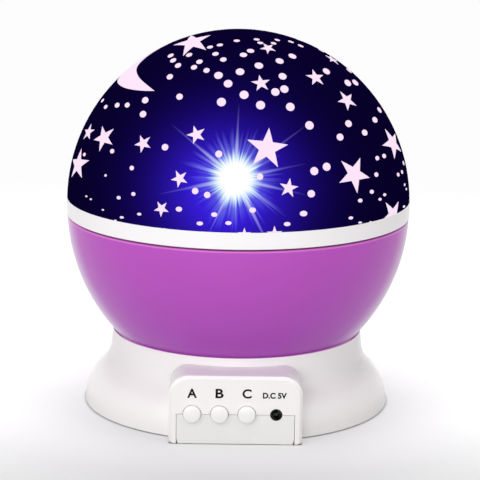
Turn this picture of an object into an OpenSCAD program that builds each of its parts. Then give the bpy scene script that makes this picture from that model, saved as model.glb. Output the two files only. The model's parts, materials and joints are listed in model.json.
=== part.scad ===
// Night light with a rotating star globe: a flared base with a control panel, a bowl that turns on
// it, and a printed star dome that twists off the bowl. Millimetres, +Z up, the panel faces -Y and
// the origin is on the table under the middle of the globe.

/* [Globe] */
// Outside diameter of the star dome
globe_d = 125; // [118:0.5:132]
// Height of the dome's centre above the table
centre_z = 74.5; // [73:0.5:80]
// Wall of the star dome
dome_wall = 1.6; // [1.2:0.1:2.4]
// Thickness of the printed star film
film_t = 0.4; // [0.3:0.1:0.6]
// Top of the white ring above the dome's centre
ring_rise = 1.6; // [1:0.1:3]
// Height of the white ring
ring_h = 6; // [5:0.1:7]
// How far the ring's lower edge stands in from the dome
ring_taper = 0.1; // [0.05:0.05:0.5]
// Running gap between the ring and the bowl
ring_gap = 0.4; // [0.3:0.05:0.6]

/* [Bowl] */
// Radius of the arc of the bowl's side
bowl_arc_r = 66.5; // [65.5:0.5:68]
// Outside diameter of the bowl's mouth
bowl_mouth_d = 124.5; // [118:0.5:129]
// Depth of that arc's centre under the dome's centre
bowl_arc_drop = 2.3; // [1.5:0.1:3]
// Wall of the bowl
bowl_wall = 2.2; // [1.8:0.1:2.6]
// Chamfer round the bowl's mouth
bowl_edge = 0.6; // [0.3:0.1:0.9]
// Gap between the bowl and the lip of the base
bowl_gap = 0.4; // [0.35:0.05:0.45]

/* [Bayonet] */
// Number of bayonet lugs on the ring
lug_count = 3; // [3:1:4]
// Width of a lug, in degrees
lug_arc = 14; // [10:1:16]
// Width of the tab over a lug, in degrees
tab_arc = 18; // [16:1:20]
// Height of a lug and of a tab
lug_h = 1.5; // [1.2:0.1:1.8]
// Clearance round the lugs
lug_gap = 0.35; // [0.3:0.05:0.45]
// How far a lug reaches under its tab
lug_hook = 1.2; // [0.8:0.1:1.4]

/* [Base] */
// Outside diameter of the base at its rim
rim_d = 111.4; // [109:0.2:114]
// Outside diameter of the lip under the bowl
lip_d = 91.2; // [91:0.1:91.8]
// Height of the lip above the table
lip_z = 27.2; // [26.8:0.1:27.3]
// Height at which the shoulder starts to curve
shoulder_z = 3; // [2:0.5:4]
// Radius of the shoulder
shoulder_r = 16; // [14:0.5:17]
// Radius of the hollow under the lip
hollow_r = 12; // [10:0.5:13]
// Steepest slope of the side, in degrees from upright
side_slope = 44; // [42:1:46]
// Lean of the rim and the lip, in degrees from upright
wall_lean = 6; // [4:0.5:7]
// Wall of the base
base_wall = 2; // [1.6:0.1:2.4]
// Height of the deck's top above the table
deck_z = 19.5; // [19.2:0.1:19.8]
// Thickness of the deck
deck_t = 2; // [1.6:0.1:2.2]

/* [Bottom cover] */
// How far the feet stand proud
foot_h = 0.3; // [0.2:0.1:0.8]
// Diameter of a foot
foot_d = 10; // [9:0.5:11]
// Distance from the axis to each foot and base screw
foot_at = 46; // [45:0.25:46.5]
// Thickness of the bottom cover and the battery door
cover_t = 2; // [1.8:0.1:2.2]
// Clearance round the bottom cover
cover_gap = 0.3; // [0.2:0.05:0.5]
// Radius of the base screws' shanks
screw_r = 1.2; // [1:0.1:1.4]

/* [Batteries] */
// Diameter of a cell
cell_d = 10.5; // [10.2:0.1:10.5]
// Length of a cell with its nub
cell_l = 44.5; // [43.5:0.5:45]
// Room for a contact spring
spring_l = 4.6; // [4:0.1:5]
// Wall of the battery tray
tray_wall = 1.2; // [1:0.1:1.3]
// Clearance round the battery door
door_gap = 0.25; // [0.2:0.05:0.4]

/* [Control panel] */
// Distance from the axis to the panel's face
panel_y = 58.8; // [58.2:0.1:59.4]
// Width of the panel's hood
hood_w = 46.4; // [45.6:0.2:47.4]
// Height of the hood's roof above the table
hood_z = 24.4; // [23.8:0.1:25]
// Radius of the hood's upper corners
hood_r = 7; // [4:0.5:8]
// Chamfer round the hood's face
hood_edge = 1; // [0.5:0.1:1.2]
// Width of the legs beside the lower panel
leg_w = 2.6; // [2.4:0.1:2.8]
// Radius of the legs' lower corners
leg_r = 0.8; // [0.4:0.1:1]
// Wall of the panel
panel_wall = 2; // [1.6:0.1:2.2]
// Width of the seam round the lower panel
seam = 0.15; // [0.1:0.05:0.35]
// Height of the buttons' and the socket's centres
control_z = 10.9; // [10.4:0.1:11.2]
// Diameter of a button
button_d = 6.2; // [5.8:0.1:6.6]
// Distance between buttons
button_pitch = 9.5; // [9.2:0.1:9.8]
// Place of the first button
first_button_x = -15.1; // [-15.6:0.1:-14.8]
// How far a button stands out of the panel
button_out = 1.6; // [1.2:0.1:1.8]
// Travel of a button
button_travel = 0.5; // [0.3:0.1:0.6]
// Clearance between a button and its hole
button_gap = 0.15; // [0.1:0.05:0.25]
// Place of the power socket
socket_x = 14.1; // [13.8:0.1:14.6]
// Outside diameter of the socket's nozzle
socket_d = 4.1; // [4:0.1:4.4]
// Bore of the socket
socket_bore = 3.5; // [3.4:0.1:3.5]

/* [Drive] */
// Module of the gears
gear_m = 0.8; // [0.76:0.02:0.84]
// Teeth of the globe's gear
hub_teeth = 50; // [48:1:52]
// Teeth of the idler
idler_teeth = 22; // [20:1:24]
// Teeth of the motor's pinion
pinion_teeth = 12; // [11:1:13]
// Face width of the globe's gear
gear_w = 3; // [2.6:0.1:3.2]
// Play between meshing teeth
backlash = 0.14; // [0.1:0.01:0.2]
// Direction of the idler from the axis, in degrees
idler_dir = 25; // [20:1:30]
// Direction of the pinion from the idler, in degrees
pinion_dir = -50; // [-54:1:-46]
// Diameter of the motor
motor_d = 20; // [19:0.5:20.5]
// Distance from the motor's middle to its shaft
motor_offset = 4; // [3:0.5:4]
// Radius of the motor's shaft and the idler's pin
pin_r = 1.5; // [1.3:0.1:1.7]
// Radial clearance of a turning fit
run_gap = 0.06; // [0.03:0.01:0.09]

/* [Lamp] */
// Outside radius of the lamp post
post_r = 5.5; // [5.2:0.1:5.8]
// Wall of the lamp post
post_wall = 1.7; // [1.4:0.1:1.9]
// Length of the bearing sleeve over the bowl's floor
sleeve_h = 13; // [11:0.5:16]
// Height of the lamps' board over the dome's centre
lamp_rise = 1.5; // [0:0.5:3]
// Radius of the lamps' board
lamp_board_r = 11; // [10.5:0.5:12]
// Distance from the axis to a lamp
led_at = 5.5; // [5.2:0.1:6.5]
// Diameter of a lamp
led_d = 5; // [4.8:0.1:5.2]

/* [Hidden] */

eps = 0.05;
globe_r = globe_d / 2;
rim_r = rim_d / 2;
lip_r = lip_d / 2;

// Levels, from the table up
cover_top = foot_h + cover_t;
cell_rest = 0.4;
cell_z = cover_top + cell_rest + cell_d / 2;
tray_h = cell_z + cell_d / 2 + cell_rest;
tray_top = tray_h + tray_wall;
deck_low = deck_z - deck_t;
flange_t = 1.5;
washer_t = 0.8;
lift_gap = 0.1;
washer_z = deck_z + flange_t;
gear_z = washer_z + washer_t + lift_gap;
floor_z = gear_z + gear_w;
sleeve_top = floor_z + sleeve_h;
clip_t = 0.8;
clip_z = sleeve_top + ring_gap;
ring_top = centre_z + ring_rise;
ring_low = ring_top - ring_h;
mouth_z = ring_low - ring_gap;
lamp_board_t = 1.6;
lamp_z = centre_z + lamp_rise - lamp_board_t;

// Side of the bowl: one arc whose centre lies behind the axis
arc_z = centre_z - bowl_arc_drop;
arc_x = bowl_mouth_d / 2 - bowl_arc_r;
function bowl_side(z, off = 0) = arc_x + sqrt(pow(bowl_arc_r + off, 2) - pow(arc_z - z, 2));

// Points of an arc in a profile
function arc(c, r, from, to, n) = [
    for (i = [0 : n]) let (a = from + (to - from) * i / n) [c[0] + r * cos(a), c[1] + r * sin(a)]
];

// Side of the base: rim, convex shoulder, slope, hollow and lip, moved inwards by off
shoulder_x = rim_r - tan(wall_lean) * (shoulder_z - foot_h);
shoulder_c = [shoulder_x - shoulder_r * cos(wall_lean), shoulder_z - shoulder_r * sin(wall_lean)];
slope_low = [shoulder_c[0] + shoulder_r * cos(side_slope), shoulder_c[1] + shoulder_r * sin(side_slope)];
hollow_rise = hollow_r * (sin(side_slope) - sin(wall_lean));
slope_l = (slope_low[0] - hollow_r * (cos(wall_lean) - cos(side_slope)) - lip_r
           - tan(wall_lean) * (lip_z - slope_low[1] - hollow_rise))
          / (sin(side_slope) - tan(wall_lean) * cos(side_slope));
slope_top = [slope_low[0] - slope_l * sin(side_slope), slope_low[1] + slope_l * cos(side_slope)];
hollow_c = [slope_top[0] + hollow_r * cos(side_slope), slope_top[1] + hollow_r * sin(side_slope)];
function base_side(off, low, high) = concat(
    [[rim_r + tan(wall_lean) * (foot_h - low) - off / cos(wall_lean), low]],
    arc(shoulder_c, shoulder_r - off, wall_lean, side_slope, 14),
    arc(hollow_c, hollow_r + off, 180 + side_slope, 180 + wall_lean, 12),
    [[lip_r - tan(wall_lean) * (high - lip_z) - off / cos(wall_lean), high]]
);

// Drive train
hub_pitch = gear_m * hub_teeth / 2;
idler_pitch = gear_m * idler_teeth / 2;
pinion_pitch = gear_m * pinion_teeth / 2;
function polar(r, a) = [r * cos(a), r * sin(a)];
idler_at = polar(hub_pitch + idler_pitch, idler_dir);
pinion_at = idler_at + polar(idler_pitch + pinion_pitch, pinion_dir);
idler_turn = idler_dir + 180 + 180 / idler_teeth;
pinion_turn = pinion_dir + 180 + 180 / pinion_teeth - (idler_turn - pinion_dir) * idler_teeth / pinion_teeth;
small_gear_z = gear_z + 0.3;
small_gear_w = gear_w - 0.6;
motor_dir = 258;
motor_at = pinion_at + polar(motor_offset, motor_dir);
gearbox_h = 5;
ear_t = 3;
ear_r = 3;
ear_at = motor_d / 2 + ear_r + 0.6;
motor_low = cover_top + 1.2;

// Panel
wall_back = panel_y - panel_wall;
cavity_x = hood_w / 2 - leg_w;
button_hole_r = button_d / 2 + button_gap;
button_flange_t = 1;
button_flange_r = button_hole_r + 0.7;
flange_y = wall_back - 0.3 - button_flange_t;
button_stem_l = 1.9;
switch_tip_y = flange_y - button_stem_l - button_travel - 0.1;
switch_tip_l = 1;
switch_h = 3.5;
board_y = switch_tip_y - switch_tip_l - switch_h;
board_t = 1.5;
board_w = 2 * (cavity_x - 1);
board_h = 13.5;
function button_x(i) = first_button_x + i * button_pitch;

// Battery tray
cells = 4;
cell_pitch = cell_d + 0.4;
tray_x = cells * cell_pitch / 2 + 0.2;
contact_t = 0.4;
tray_y = (cell_l + spring_l) / 2 + contact_t;
tray_end = tray_wall + 0.6;
door_x = tray_x - 0.4;
door_y = tray_y + tray_wall;
door_tongue_w = 12;
door_tongue_l = 7.4;
door_screw_y = door_y + 3.7;
door_post_h = 6;
door_web_w = door_tongue_w + 4;
// Round edge that the door swings on, and its two tabs under the tray's wall
bead_r = cover_t / 2;
bead_y = door_y - door_gap - bead_r;
bead_z = foot_h + bead_r;
tab_at = cell_pitch;
tab_w = 6;
tab_reach = 2.2;
tab_t = 1;
tab_lift = 0.3;
tab_room = norm([bead_r + door_gap + tab_reach, bead_r + tab_lift + tab_t]) - bead_r + 0.4;

// Screw posts under the feet
post_angles = [45, 135, 225, 315];
pad_top = cover_top + 2.4;
screw_head_r = 2.7;
screw_head_h = 1.6;
foot_seat = 0.8;
boss_r = 3.6;
wire_r = 0.55;

// Screws that hold the bowl's inner pieces
deck_seat = mouth_z - 8.2;
deck_plate_t = 1.8;
deck_wall_top = mouth_z - 1.1;
deck_screw_at = 44;
deck_boss_r = 3.2;
deck_screw_l = 9;
hub_screw_at = 15.5;
flange_screw_at = 11.5;
small_screw_r = 1;
small_head_r = 1.9;
small_head_h = 1.2;
bayonet_dirs = [for (i = [0 : lug_count - 1]) 90 + i * 360 / lug_count];

// Ring and bayonet radii, from the bowl's mouth inwards
skirt_out = bowl_side(mouth_z - 5.2, -bowl_wall) - lug_gap - 0.1;
skirt_wall = 0.9;
skirt_in = skirt_out - skirt_wall;
tab_out = skirt_in - lug_gap - 0.1;
lug_in = tab_out - lug_hook;
deck_wall_out = lug_in - lug_gap;
deck_wall = 1.4;
tab_low = mouth_z - 3.1;
lug_top = tab_low - lug_gap;
lug_low = lug_top - lug_h;

// A screw along -Z with its head's top at the origin
module screw(r, l, head_r, head_h) {
    difference() {
        union() {
            translate([0, 0, -head_h]) cylinder(r = head_r, h = head_h, $fn = 32);
            translate([0, 0, -l]) cylinder(r = r, h = l - head_h + eps, $fn = 24);
        }
        for (a = [0, 90]) rotate(a)
            translate([-head_r * 0.6, -0.3, -head_h / 2]) cube([head_r * 1.2, 0.6, head_h]);
    }
}

// A ring sector between two radii
module sector(r_in, r_out, from, to) {
    steps = 6;
    polygon(concat(
        [for (i = [0 : steps]) polar(r_out, from + (to - from) * i / steps)],
        [for (i = [0 : steps]) polar(r_in, to - (to - from) * i / steps)]
    ));
}

// A round wire through a list of points, as one closed tube
module wire(points, r, sides = 8) {
    n = len(points);
    tangents = [for (i = [0 : n - 1])
        let (t = points[min(i + 1, n - 1)] - points[max(i - 1, 0)]) t / norm(t)];
    side_dir = [for (i = [0 : n - 1])
        let (s = cross(tangents[i], abs(tangents[i][0]) > 0.9 ? [0, 0, 1] : [1, 0, 0])) s / norm(s)];
    rings = [for (i = [0 : n - 1]) for (k = [0 : sides - 1])
        points[i] + r * (cos(360 * k / sides) * side_dir[i]
                         + sin(360 * k / sides) * cross(tangents[i], side_dir[i]))];
    walls = [for (i = [0 : n - 2]) for (k = [0 : sides - 1]) let (m = (k + 1) % sides)
        [i * sides + k, i * sides + m, (i + 1) * sides + m, (i + 1) * sides + k]];
    polyhedron(rings, concat(
        walls,
        [[for (k = [0 : sides - 1]) sides - 1 - k], [for (k = [0 : sides - 1]) (n - 1) * sides + k]]
    ));
}

// Points of a smooth curve through hand-picked ones
function smooth(p, steps = 4) = concat([
    for (i = [0 : len(p) - 2]) for (s = [0 : steps - 1])
        let (a = p[max(i - 1, 0)], b = p[i], c = p[i + 1], d = p[min(i + 2, len(p) - 1)], t = s / steps)
        b + 0.5 * t * (c - a + t * (2 * a - 5 * b + 4 * c - d + t * (3 * b - a - 3 * c + d)))
], [p[len(p) - 1]]);

// Spur gear with stub involute teeth; a tooth points along +X before it is turned
pressure = 20;
function involute(a) = tan(a) * 180 / PI - a;
module gear(teeth, width, bore_r, turn) {
    pitch = gear_m * teeth / 2;
    base = pitch * cos(pressure);
    root = pitch - gear_m * 1.1;
    tip = pitch + gear_m * 0.8;
    half = 90 / teeth - backlash / 2 / pitch * 180 / PI;
    flank = [for (i = [0 : 4]) let (r = max(root, base) + (tip - max(root, base)) * i / 4)
        [r, half + involute(pressure) - involute(acos(min(1, base / r)))]];
    side = concat([[root, flank[0][1]]], root < base ? flank : [for (i = [1 : 4]) flank[i]]);
    rotate(turn) linear_extrude(width) difference() {
        polygon([for (t = [0 : teeth - 1]) each concat(
            [for (i = [0 : len(side) - 1]) polar(side[i][0], t * 360 / teeth - side[i][1])],
            [for (i = [0 : len(side) - 1]) let (k = len(side) - 1 - i)
                polar(side[k][0], t * 360 / teeth + side[k][1])]
        )]);
        circle(r = bore_r, $fn = 48);
    }
}

module base_solid(off = 0, low = foot_h, high = lip_z) {
    rotate_extrude($fn = 144) polygon(concat([[0, low]], base_side(off, low, high), [[0, high]]));
}

// Outline of the hood, seen from the front
module hood_outline(inset, top_r) {
    half = hood_w / 2 - inset;
    high = hood_z - inset;
    union() {
        translate([-half, foot_h + leg_r]) square([2 * half, high - foot_h - leg_r - top_r]);
        translate([-half + top_r, foot_h]) square([2 * (half - top_r), high - foot_h]);
        translate([-half + leg_r, foot_h]) square([2 * (half - leg_r), 2 * leg_r]);
        for (s = [-1, 1]) {
            translate([s * (half - top_r), high - top_r]) circle(r = top_r, $fn = 48);
            translate([s * (half - leg_r), foot_h + leg_r]) circle(r = leg_r, $fn = 32);
        }
    }
}

// Outline of the room inside the hood, with its upper corners cut to follow the outside
module cavity_outline(high) {
    cut = hood_r * (1 - sqrt(0.5));
    polygon([
        [-cavity_x, foot_h - 1], [cavity_x, foot_h - 1], [cavity_x, high - cut], [cavity_x - cut, high],
        [cut - cavity_x, high], [-cavity_x, high - cut]
    ]);
}

// A solid between two distances in front of the axis, from an outline seen from the front
module facing(near, far) {
    translate([0, -near, 0]) rotate([90, 0, 0]) linear_extrude(far - near) children();
}

module hood_block() {
    back = lip_r - 4;
    union() {
        facing(back, panel_y - hood_edge) hood_outline(0, hood_r);
        hull() {
            facing(panel_y - hood_edge - eps, panel_y - hood_edge) hood_outline(0, hood_r);
            facing(panel_y - eps, panel_y) hood_outline(hood_edge, hood_r - hood_edge);
        }
    }
}

// Half-round notches for the buttons and the socket
module control_holes() {
    for (i = [0 : 2]) translate([button_x(i), -wall_back + 1, control_z]) rotate([90, 0, 0])
        cylinder(r = button_hole_r, h = panel_wall + 2, $fn = 48);
    translate([socket_x, -wall_back + 1, control_z]) rotate([90, 0, 0])
        cylinder(r = socket_d / 2 + 0.1, h = panel_wall + 2, $fn = 48);
}

module base_shell() {
    color("white") difference() {
        union() {
            difference() {
                union() {
                    base_solid();
                    hood_block();
                }
                // Inside under the deck
                intersection() {
                    base_solid(base_wall, foot_h - 1, lip_z + 1);
                    translate([0, 0, foot_h - 1])
                        cylinder(r = rim_r, h = deck_low - foot_h + 1, $fn = 144);
                }
                // Inside over the deck, open to the bowl
                intersection() {
                    base_solid(base_wall, foot_h, lip_z + 1);
                    translate([0, 0, deck_z]) cylinder(r = rim_r, h = lip_z, $fn = 144);
                }
                rotate_extrude($fn = 144) intersection() {
                    translate([arc_x, arc_z]) circle(r = bowl_arc_r + bowl_gap, $fn = 180);
                    translate([0, deck_z]) square([rim_r, lip_z]);
                }
                // Inside of the hood, under the roof and under the deck
                facing(lip_r + base_wall, wall_back) cavity_outline(hood_z - panel_wall);
                translate([-cavity_x, -wall_back, foot_h - 1])
                    cube([2 * cavity_x, wall_back - lip_r + 8, deck_low - foot_h + 1]);
                // Opening for the lower panel
                translate([-cavity_x, -panel_y - 1, foot_h - 1])
                    cube([2 * cavity_x, panel_wall + 2, control_z - foot_h + 1]);
            }
            // Bosses for the base screws
            intersection() {
                base_solid(base_wall / 2);
                for (a = post_angles) rotate(a) translate([foot_at, 0, pad_top])
                    cylinder(r = boss_r, h = deck_z - pad_top - deck_t / 2, $fn = 32);
            }
            translate([idler_at[0], idler_at[1], deck_z - eps])
                cylinder(r = pin_r + 1.4, h = small_gear_z - deck_z - lift_gap + eps, $fn = 32);
        }
        control_holes();
        for (a = post_angles) rotate(a) translate([foot_at, 0, pad_top - 1])
            cylinder(r = screw_r + 0.05, h = 9, $fn = 24);
        translate([0, 0, deck_low - 1]) cylinder(r = post_r + 0.1, h = deck_t + 2, $fn = 48);
        for (a = [60, 180, 300]) rotate(a) translate([flange_screw_at, 0, deck_low - 1])
            cylinder(r = small_screw_r + 0.05, h = deck_t + 2, $fn = 24);
        translate([pinion_at[0], pinion_at[1], deck_low - 1])
            cylinder(r = pin_r + 2, h = deck_t + 2, $fn = 32);
        translate([idler_at[0], idler_at[1], deck_low - 1])
            cylinder(r = pin_r + 0.02, h = small_gear_z - deck_low + 2, $fn = 32);
        for (s = [-1, 1]) translate([motor_at[0], motor_at[1] + s * ear_at, deck_low - 1])
            cylinder(r = small_screw_r + 0.2, h = deck_t + 2, $fn = 24);
    }
}

// Rails that hold the edges of the control board
module board_rail(s) {
    rail_w = 1.6;
    rail_d = board_t + 3;
    x = s > 0 ? cavity_x - 0.2 - rail_w : -cavity_x + 0.2;
    difference() {
        translate([x, -board_y - 1.5, cover_top - eps]) cube([rail_w, rail_d, board_h - 1]);
        translate([-board_w / 2 - 0.1, -board_y - 0.1, cover_top])
            cube([board_w + 0.2, board_t + 0.2, board_h + 1]);
    }
}

module bottom_cover() {
    plate_r = rim_r - base_wall / cos(wall_lean) - cover_gap;
    panel_half = cavity_x - seam;
    tongue_l = 14;
    rib_t = 1.2;
    rib_l = 5;
    notch_w = 0.45;
    notch_h = 1.3;
    notch_d = 1.2;
    color("white") difference() {
        union() {
            translate([0, 0, foot_h]) cylinder(r = plate_r, h = cover_t, $fn = 144);
            // Tongue of the plate under the hood, and the lower panel on it
            translate([-panel_half, -panel_y, foot_h]) cube([2 * panel_half, tongue_l, cover_t]);
            translate([-panel_half, -panel_y, foot_h])
                cube([2 * panel_half, panel_wall, control_z - seam - foot_h]);
            for (s = [-1, 1]) translate([s > 0 ? panel_half - rib_t : -panel_half, -panel_y, foot_h])
                cube([rib_t, rib_l, control_z - 3 - foot_h]);
            // Battery tray
            translate([-tray_x - tray_wall, -tray_y - tray_end, foot_h])
                cube([2 * (tray_x + tray_wall), 2 * (tray_y + tray_end), tray_top - foot_h]);
            for (a = post_angles) rotate(a) translate([foot_at, 0, cover_top - eps])
                cylinder(r = boss_r + 0.8, h = pad_top - cover_top + eps, $fn = 32);
            for (s = [-1, 1]) board_rail(s);
            // Screw post of the battery door, webbed to the tray's wall over the door's tongue
            translate([0, door_screw_y, cover_top - eps])
                cylinder(r = boss_r, h = door_post_h, $fn = 32);
            translate([-door_web_w / 2, door_y - eps, cover_top - eps])
                cube([door_web_w, door_screw_y - door_y, door_post_h]);
        }
        translate([-tray_x, -tray_y, cover_top]) cube([2 * tray_x, 2 * tray_y, tray_h - cover_top]);
        translate([-door_x, -door_y, foot_h - 1]) cube([2 * door_x, 2 * door_y, cover_t + 1]);
        translate([-door_tongue_w / 2, 0, foot_h - 1])
            cube([door_tongue_w, door_y + door_tongue_l, cover_t + 1]);
        // Notches at the lower corners of the lower panel
        for (s = [-1, 1])
            translate([s > 0 ? panel_half - notch_w : -panel_half - 1, -panel_y - 1, foot_h - 1])
                cube([notch_w + 1, notch_d + 1, notch_h + 1]);
        // Windows for the door's two tabs
        for (s = [-1, 1]) translate([s * tab_at - tab_w / 2 - 0.2, -door_y - tab_reach - 0.8, cover_top])
            cube([tab_w + 0.4, tab_reach + 2 * tray_end, tab_room]);
        control_holes();
        for (a = post_angles) rotate(a) {
            translate([foot_at, 0, foot_h - 1]) cylinder(r = foot_d / 2 + 0.15, h = foot_seat + 1, $fn = 48);
            translate([foot_at, 0, foot_h])
                cylinder(r = screw_head_r + 0.3, h = foot_seat + screw_head_h + 0.1, $fn = 32);
            translate([foot_at, 0, foot_h]) cylinder(r = screw_r + 0.3, h = pad_top, $fn = 24);
        }
        translate([0, door_screw_y, foot_h]) cylinder(r = screw_r + 0.5, h = cover_t + 5, $fn = 24);
    }
}

module rubber_feet() {
    color("dimgray") for (a = post_angles) rotate(a) translate([foot_at, 0, 0])
        rotate_extrude($fn = 48) polygon([
            [0, 0], [foot_d / 2 - 0.5, 0], [foot_d / 2, 0.4], [foot_d / 2, foot_h + foot_seat],
            [0, foot_h + foot_seat]
        ]);
}

module base_screws() {
    color("silver") for (a = post_angles) rotate(a)
        translate([foot_at, 0, foot_h + foot_seat + 0.05]) rotate([180, 0, 0])
            screw(screw_r, 9, screw_head_r, screw_head_h);
}

// Places of the cells across the tray, and the end that each nub points to
function cell_x(i) = (i - (cells - 1) / 2) * cell_pitch;
function cell_way(i) = i % 2 == 0 ? 1 : -1;
nub_l = 1;

module battery_cells() {
    color("seagreen") for (i = [0 : cells - 1])
        translate([cell_x(i), 0, cell_z]) rotate([0, 0, cell_way(i) > 0 ? 0 : 180])
            translate([0, tray_y - contact_t, 0]) rotate([90, 0, 0]) union() {
                cylinder(r = 1.9, h = nub_l + eps, $fn = 24);
                translate([0, 0, nub_l]) cylinder(r = cell_d / 2, h = cell_l - nub_l, $fn = 48);
            }
}

module battery_springs() {
    turns = 4;
    wire_d = 0.6;
    color("silver") for (i = [0 : cells - 1])
        translate([cell_x(i), 0, cell_z]) rotate([0, 0, cell_way(i) > 0 ? 0 : 180])
            translate([0, -tray_y + contact_t, 0]) rotate([-90, 0, 0])
                wire([for (k = [0 : turns * 10]) let (a = k * 36, f = k / (turns * 10))
                    [(3.6 - 1.6 * f) * cos(a), (3.6 - 1.6 * f) * sin(a),
                     wire_d / 2 + 0.05 + f * (spring_l - wire_d - 0.1)]], wire_d / 2, 6);
}

module battery_contacts() {
    strip_low = 3.4;
    low = cover_top + strip_low;
    high = tray_h - 0.6;
    color("silver") for (end = [-1, 1]) for (pair = [0, 1]) {
        middle = (cell_x(pair * 2) + cell_x(pair * 2 + 1)) / 2;
        half = cell_pitch - 0.8;
        translate([middle - half, end > 0 ? tray_y - contact_t : -tray_y, low])
            cube([2 * half, contact_t, high - low]);
    }
}

module battery_door() {
    wide = 2 * (door_x - door_gap);
    color("white") difference() {
        union() {
            translate([-wide / 2, -bead_y, bead_z]) rotate([0, 90, 0])
                cylinder(r = bead_r, h = wide, $fn = 32);
            translate([-wide / 2, -bead_y, foot_h]) cube([wide, bead_y + door_y - door_gap, cover_t]);
            translate([-door_tongue_w / 2 + door_gap, 0, foot_h])
                cube([door_tongue_w - 2 * door_gap, door_y + door_tongue_l - door_gap, cover_t]);
            for (s = [-1, 1]) translate([s * tab_at - tab_w / 2, -door_y + door_gap, bead_z]) {
                cube([tab_w, bead_r, bead_r + tab_lift + tab_t]);
                translate([0, -tab_reach - door_gap, bead_r + tab_lift])
                    cube([tab_w, tab_reach + door_gap + bead_r, tab_t]);
            }
        }
        translate([0, door_screw_y, foot_h - 1]) cylinder(r = screw_r + 0.1, h = cover_t + 2, $fn = 24);
        translate([0, door_screw_y, foot_h - 1]) cylinder(r = 2.4, h = 2, $fn = 32);
        // Grip grooves
        for (k = [-2 : 2]) translate([-9, door_y - 8 + k * 1.6, foot_h - 0.5]) cube([18, 0.8, 0.9]);
    }
}

module door_screw() {
    color("silver") translate([0, door_screw_y, foot_h + 0.1]) rotate([180, 0, 0])
        screw(screw_r, cover_t + 3.5, 2.2, 0.85);
}

module control_board() {
    color("darkgreen") difference() {
        translate([-board_w / 2, -board_y, cover_top]) cube([board_w, board_t, board_h]);
        for (x = [-18, 18]) translate([x, -board_y - 1, cover_top + 10.5]) rotate([-90, 0, 0])
            cylinder(r = 0.8, h = board_t + 2, $fn = 24);
    }
}

module board_parts() {
    back = -board_y + board_t;
    color("#222222") union() {
        translate([-8, back, cover_top + 3]) cube([10, 1.6, 4]);
        for (x = [-14, 6]) translate([x, back, cover_top + 4]) cube([2, 0.8, 1.2]);
    }
    color("#222222") translate([10, back, cover_top + 5]) rotate([-90, 0, 0])
        cylinder(r = 2.5, h = 5, $fn = 32);
}

module tact_switches() {
    side = 6;
    color("#333333") for (i = [0 : 2])
        translate([button_x(i), -board_y, control_z]) rotate([90, 0, 0]) union() {
            translate([-side / 2, -side / 2, 0]) cube([side, side, switch_h]);
            cylinder(r = 1.7, h = switch_h + switch_tip_l, $fn = 24);
        }
}

module dc_socket() {
    body = 7.6;
    color("#111111") difference() {
        union() {
            translate([socket_x - body / 2, -wall_back + 0.2, control_z - body / 2])
                cube([body, wall_back - board_y - 0.2, body]);
            translate([socket_x, -board_y - 2, control_z]) rotate([90, 0, 0])
                cylinder(r = socket_d / 2, h = panel_y - board_y - 2.1, $fn = 48);
        }
        translate([socket_x, -board_y - 1.2, control_z]) rotate([90, 0, 0])
            cylinder(r = socket_bore / 2, h = 20, $fn = 48);
    }
}

module socket_pin() {
    color("silver") translate([socket_x, -board_y - 1.2, control_z]) rotate([90, 0, 0])
        cylinder(r = 0.6, h = panel_y - board_y - 2.2, $fn = 24);
}

// One button: cap with a rounded edge, flange behind the panel and stem to its switch
module button(i) {
    r = button_d / 2;
    edge = 0.7;
    cap_l = panel_y + button_out - flange_y - button_flange_t;
    color("white") translate([button_x(i), -flange_y + button_stem_l, control_z]) rotate([90, 0, 0])
        rotate_extrude($fn = 64) polygon(concat(
            [[0, 0], [1.8, 0], [1.8, button_stem_l], [button_flange_r, button_stem_l]],
            [[button_flange_r, button_stem_l + button_flange_t], [r, button_stem_l + button_flange_t]],
            arc([r - edge, button_stem_l + button_flange_t + cap_l - edge - 0.2], edge, 0, 75, 5),
            [[0, button_stem_l + button_flange_t + cap_l]]
        ));
}
module button_light() { button(0); }
module button_colour() { button(1); }
module button_rotate() { button(2); }

module motor_can() {
    h = deck_low - gearbox_h - motor_low;
    color("silver") translate([motor_at[0], motor_at[1], motor_low]) rotate_extrude($fn = 64)
        polygon([[0, 0], [motor_d / 2 - 1, 0], [motor_d / 2 - 0.4, 0.6], [motor_d / 2 - 0.4, h], [0, h]]);
}

module motor_gearbox() {
    color("gainsboro") translate([motor_at[0], motor_at[1], deck_low - gearbox_h]) difference() {
        union() {
            cylinder(r = motor_d / 2, h = gearbox_h, $fn = 64);
            for (s = [-1, 1]) {
                translate([0, s * ear_at, gearbox_h - ear_t]) cylinder(r = ear_r, h = ear_t, $fn = 32);
                translate([-ear_r, s > 0 ? 0 : -ear_at, gearbox_h - ear_t]) cube([2 * ear_r, ear_at, ear_t]);
            }
        }
        translate([pinion_at[0] - motor_at[0], pinion_at[1] - motor_at[1], 1.5])
            cylinder(r = pin_r + run_gap, h = gearbox_h, $fn = 48);
        for (s = [-1, 1]) translate([0, s * ear_at, 0])
            cylinder(r = small_screw_r + 0.03, h = gearbox_h + 1, $fn = 24);
    }
}

module motor_screws() {
    color("silver") for (s = [-1, 1])
        translate([motor_at[0], motor_at[1] + s * ear_at, deck_z + small_head_h])
            screw(small_screw_r, deck_t + ear_t + 0.6, small_head_r, small_head_h);
}

module idler_pin() {
    color("silver") translate([idler_at[0], idler_at[1], deck_low])
        cylinder(r = pin_r, h = floor_z - 0.35 - deck_low, $fn = 32);
}

module idler_gear() {
    color("ivory") translate([idler_at[0], idler_at[1], small_gear_z])
        gear(idler_teeth, small_gear_w - 0.1, pin_r + run_gap, idler_turn);
}

module motor_pinion() {
    color("ivory") translate([pinion_at[0], pinion_at[1], small_gear_z])
        gear(pinion_teeth, small_gear_w - 0.1, pin_r, pinion_turn);
}

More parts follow.
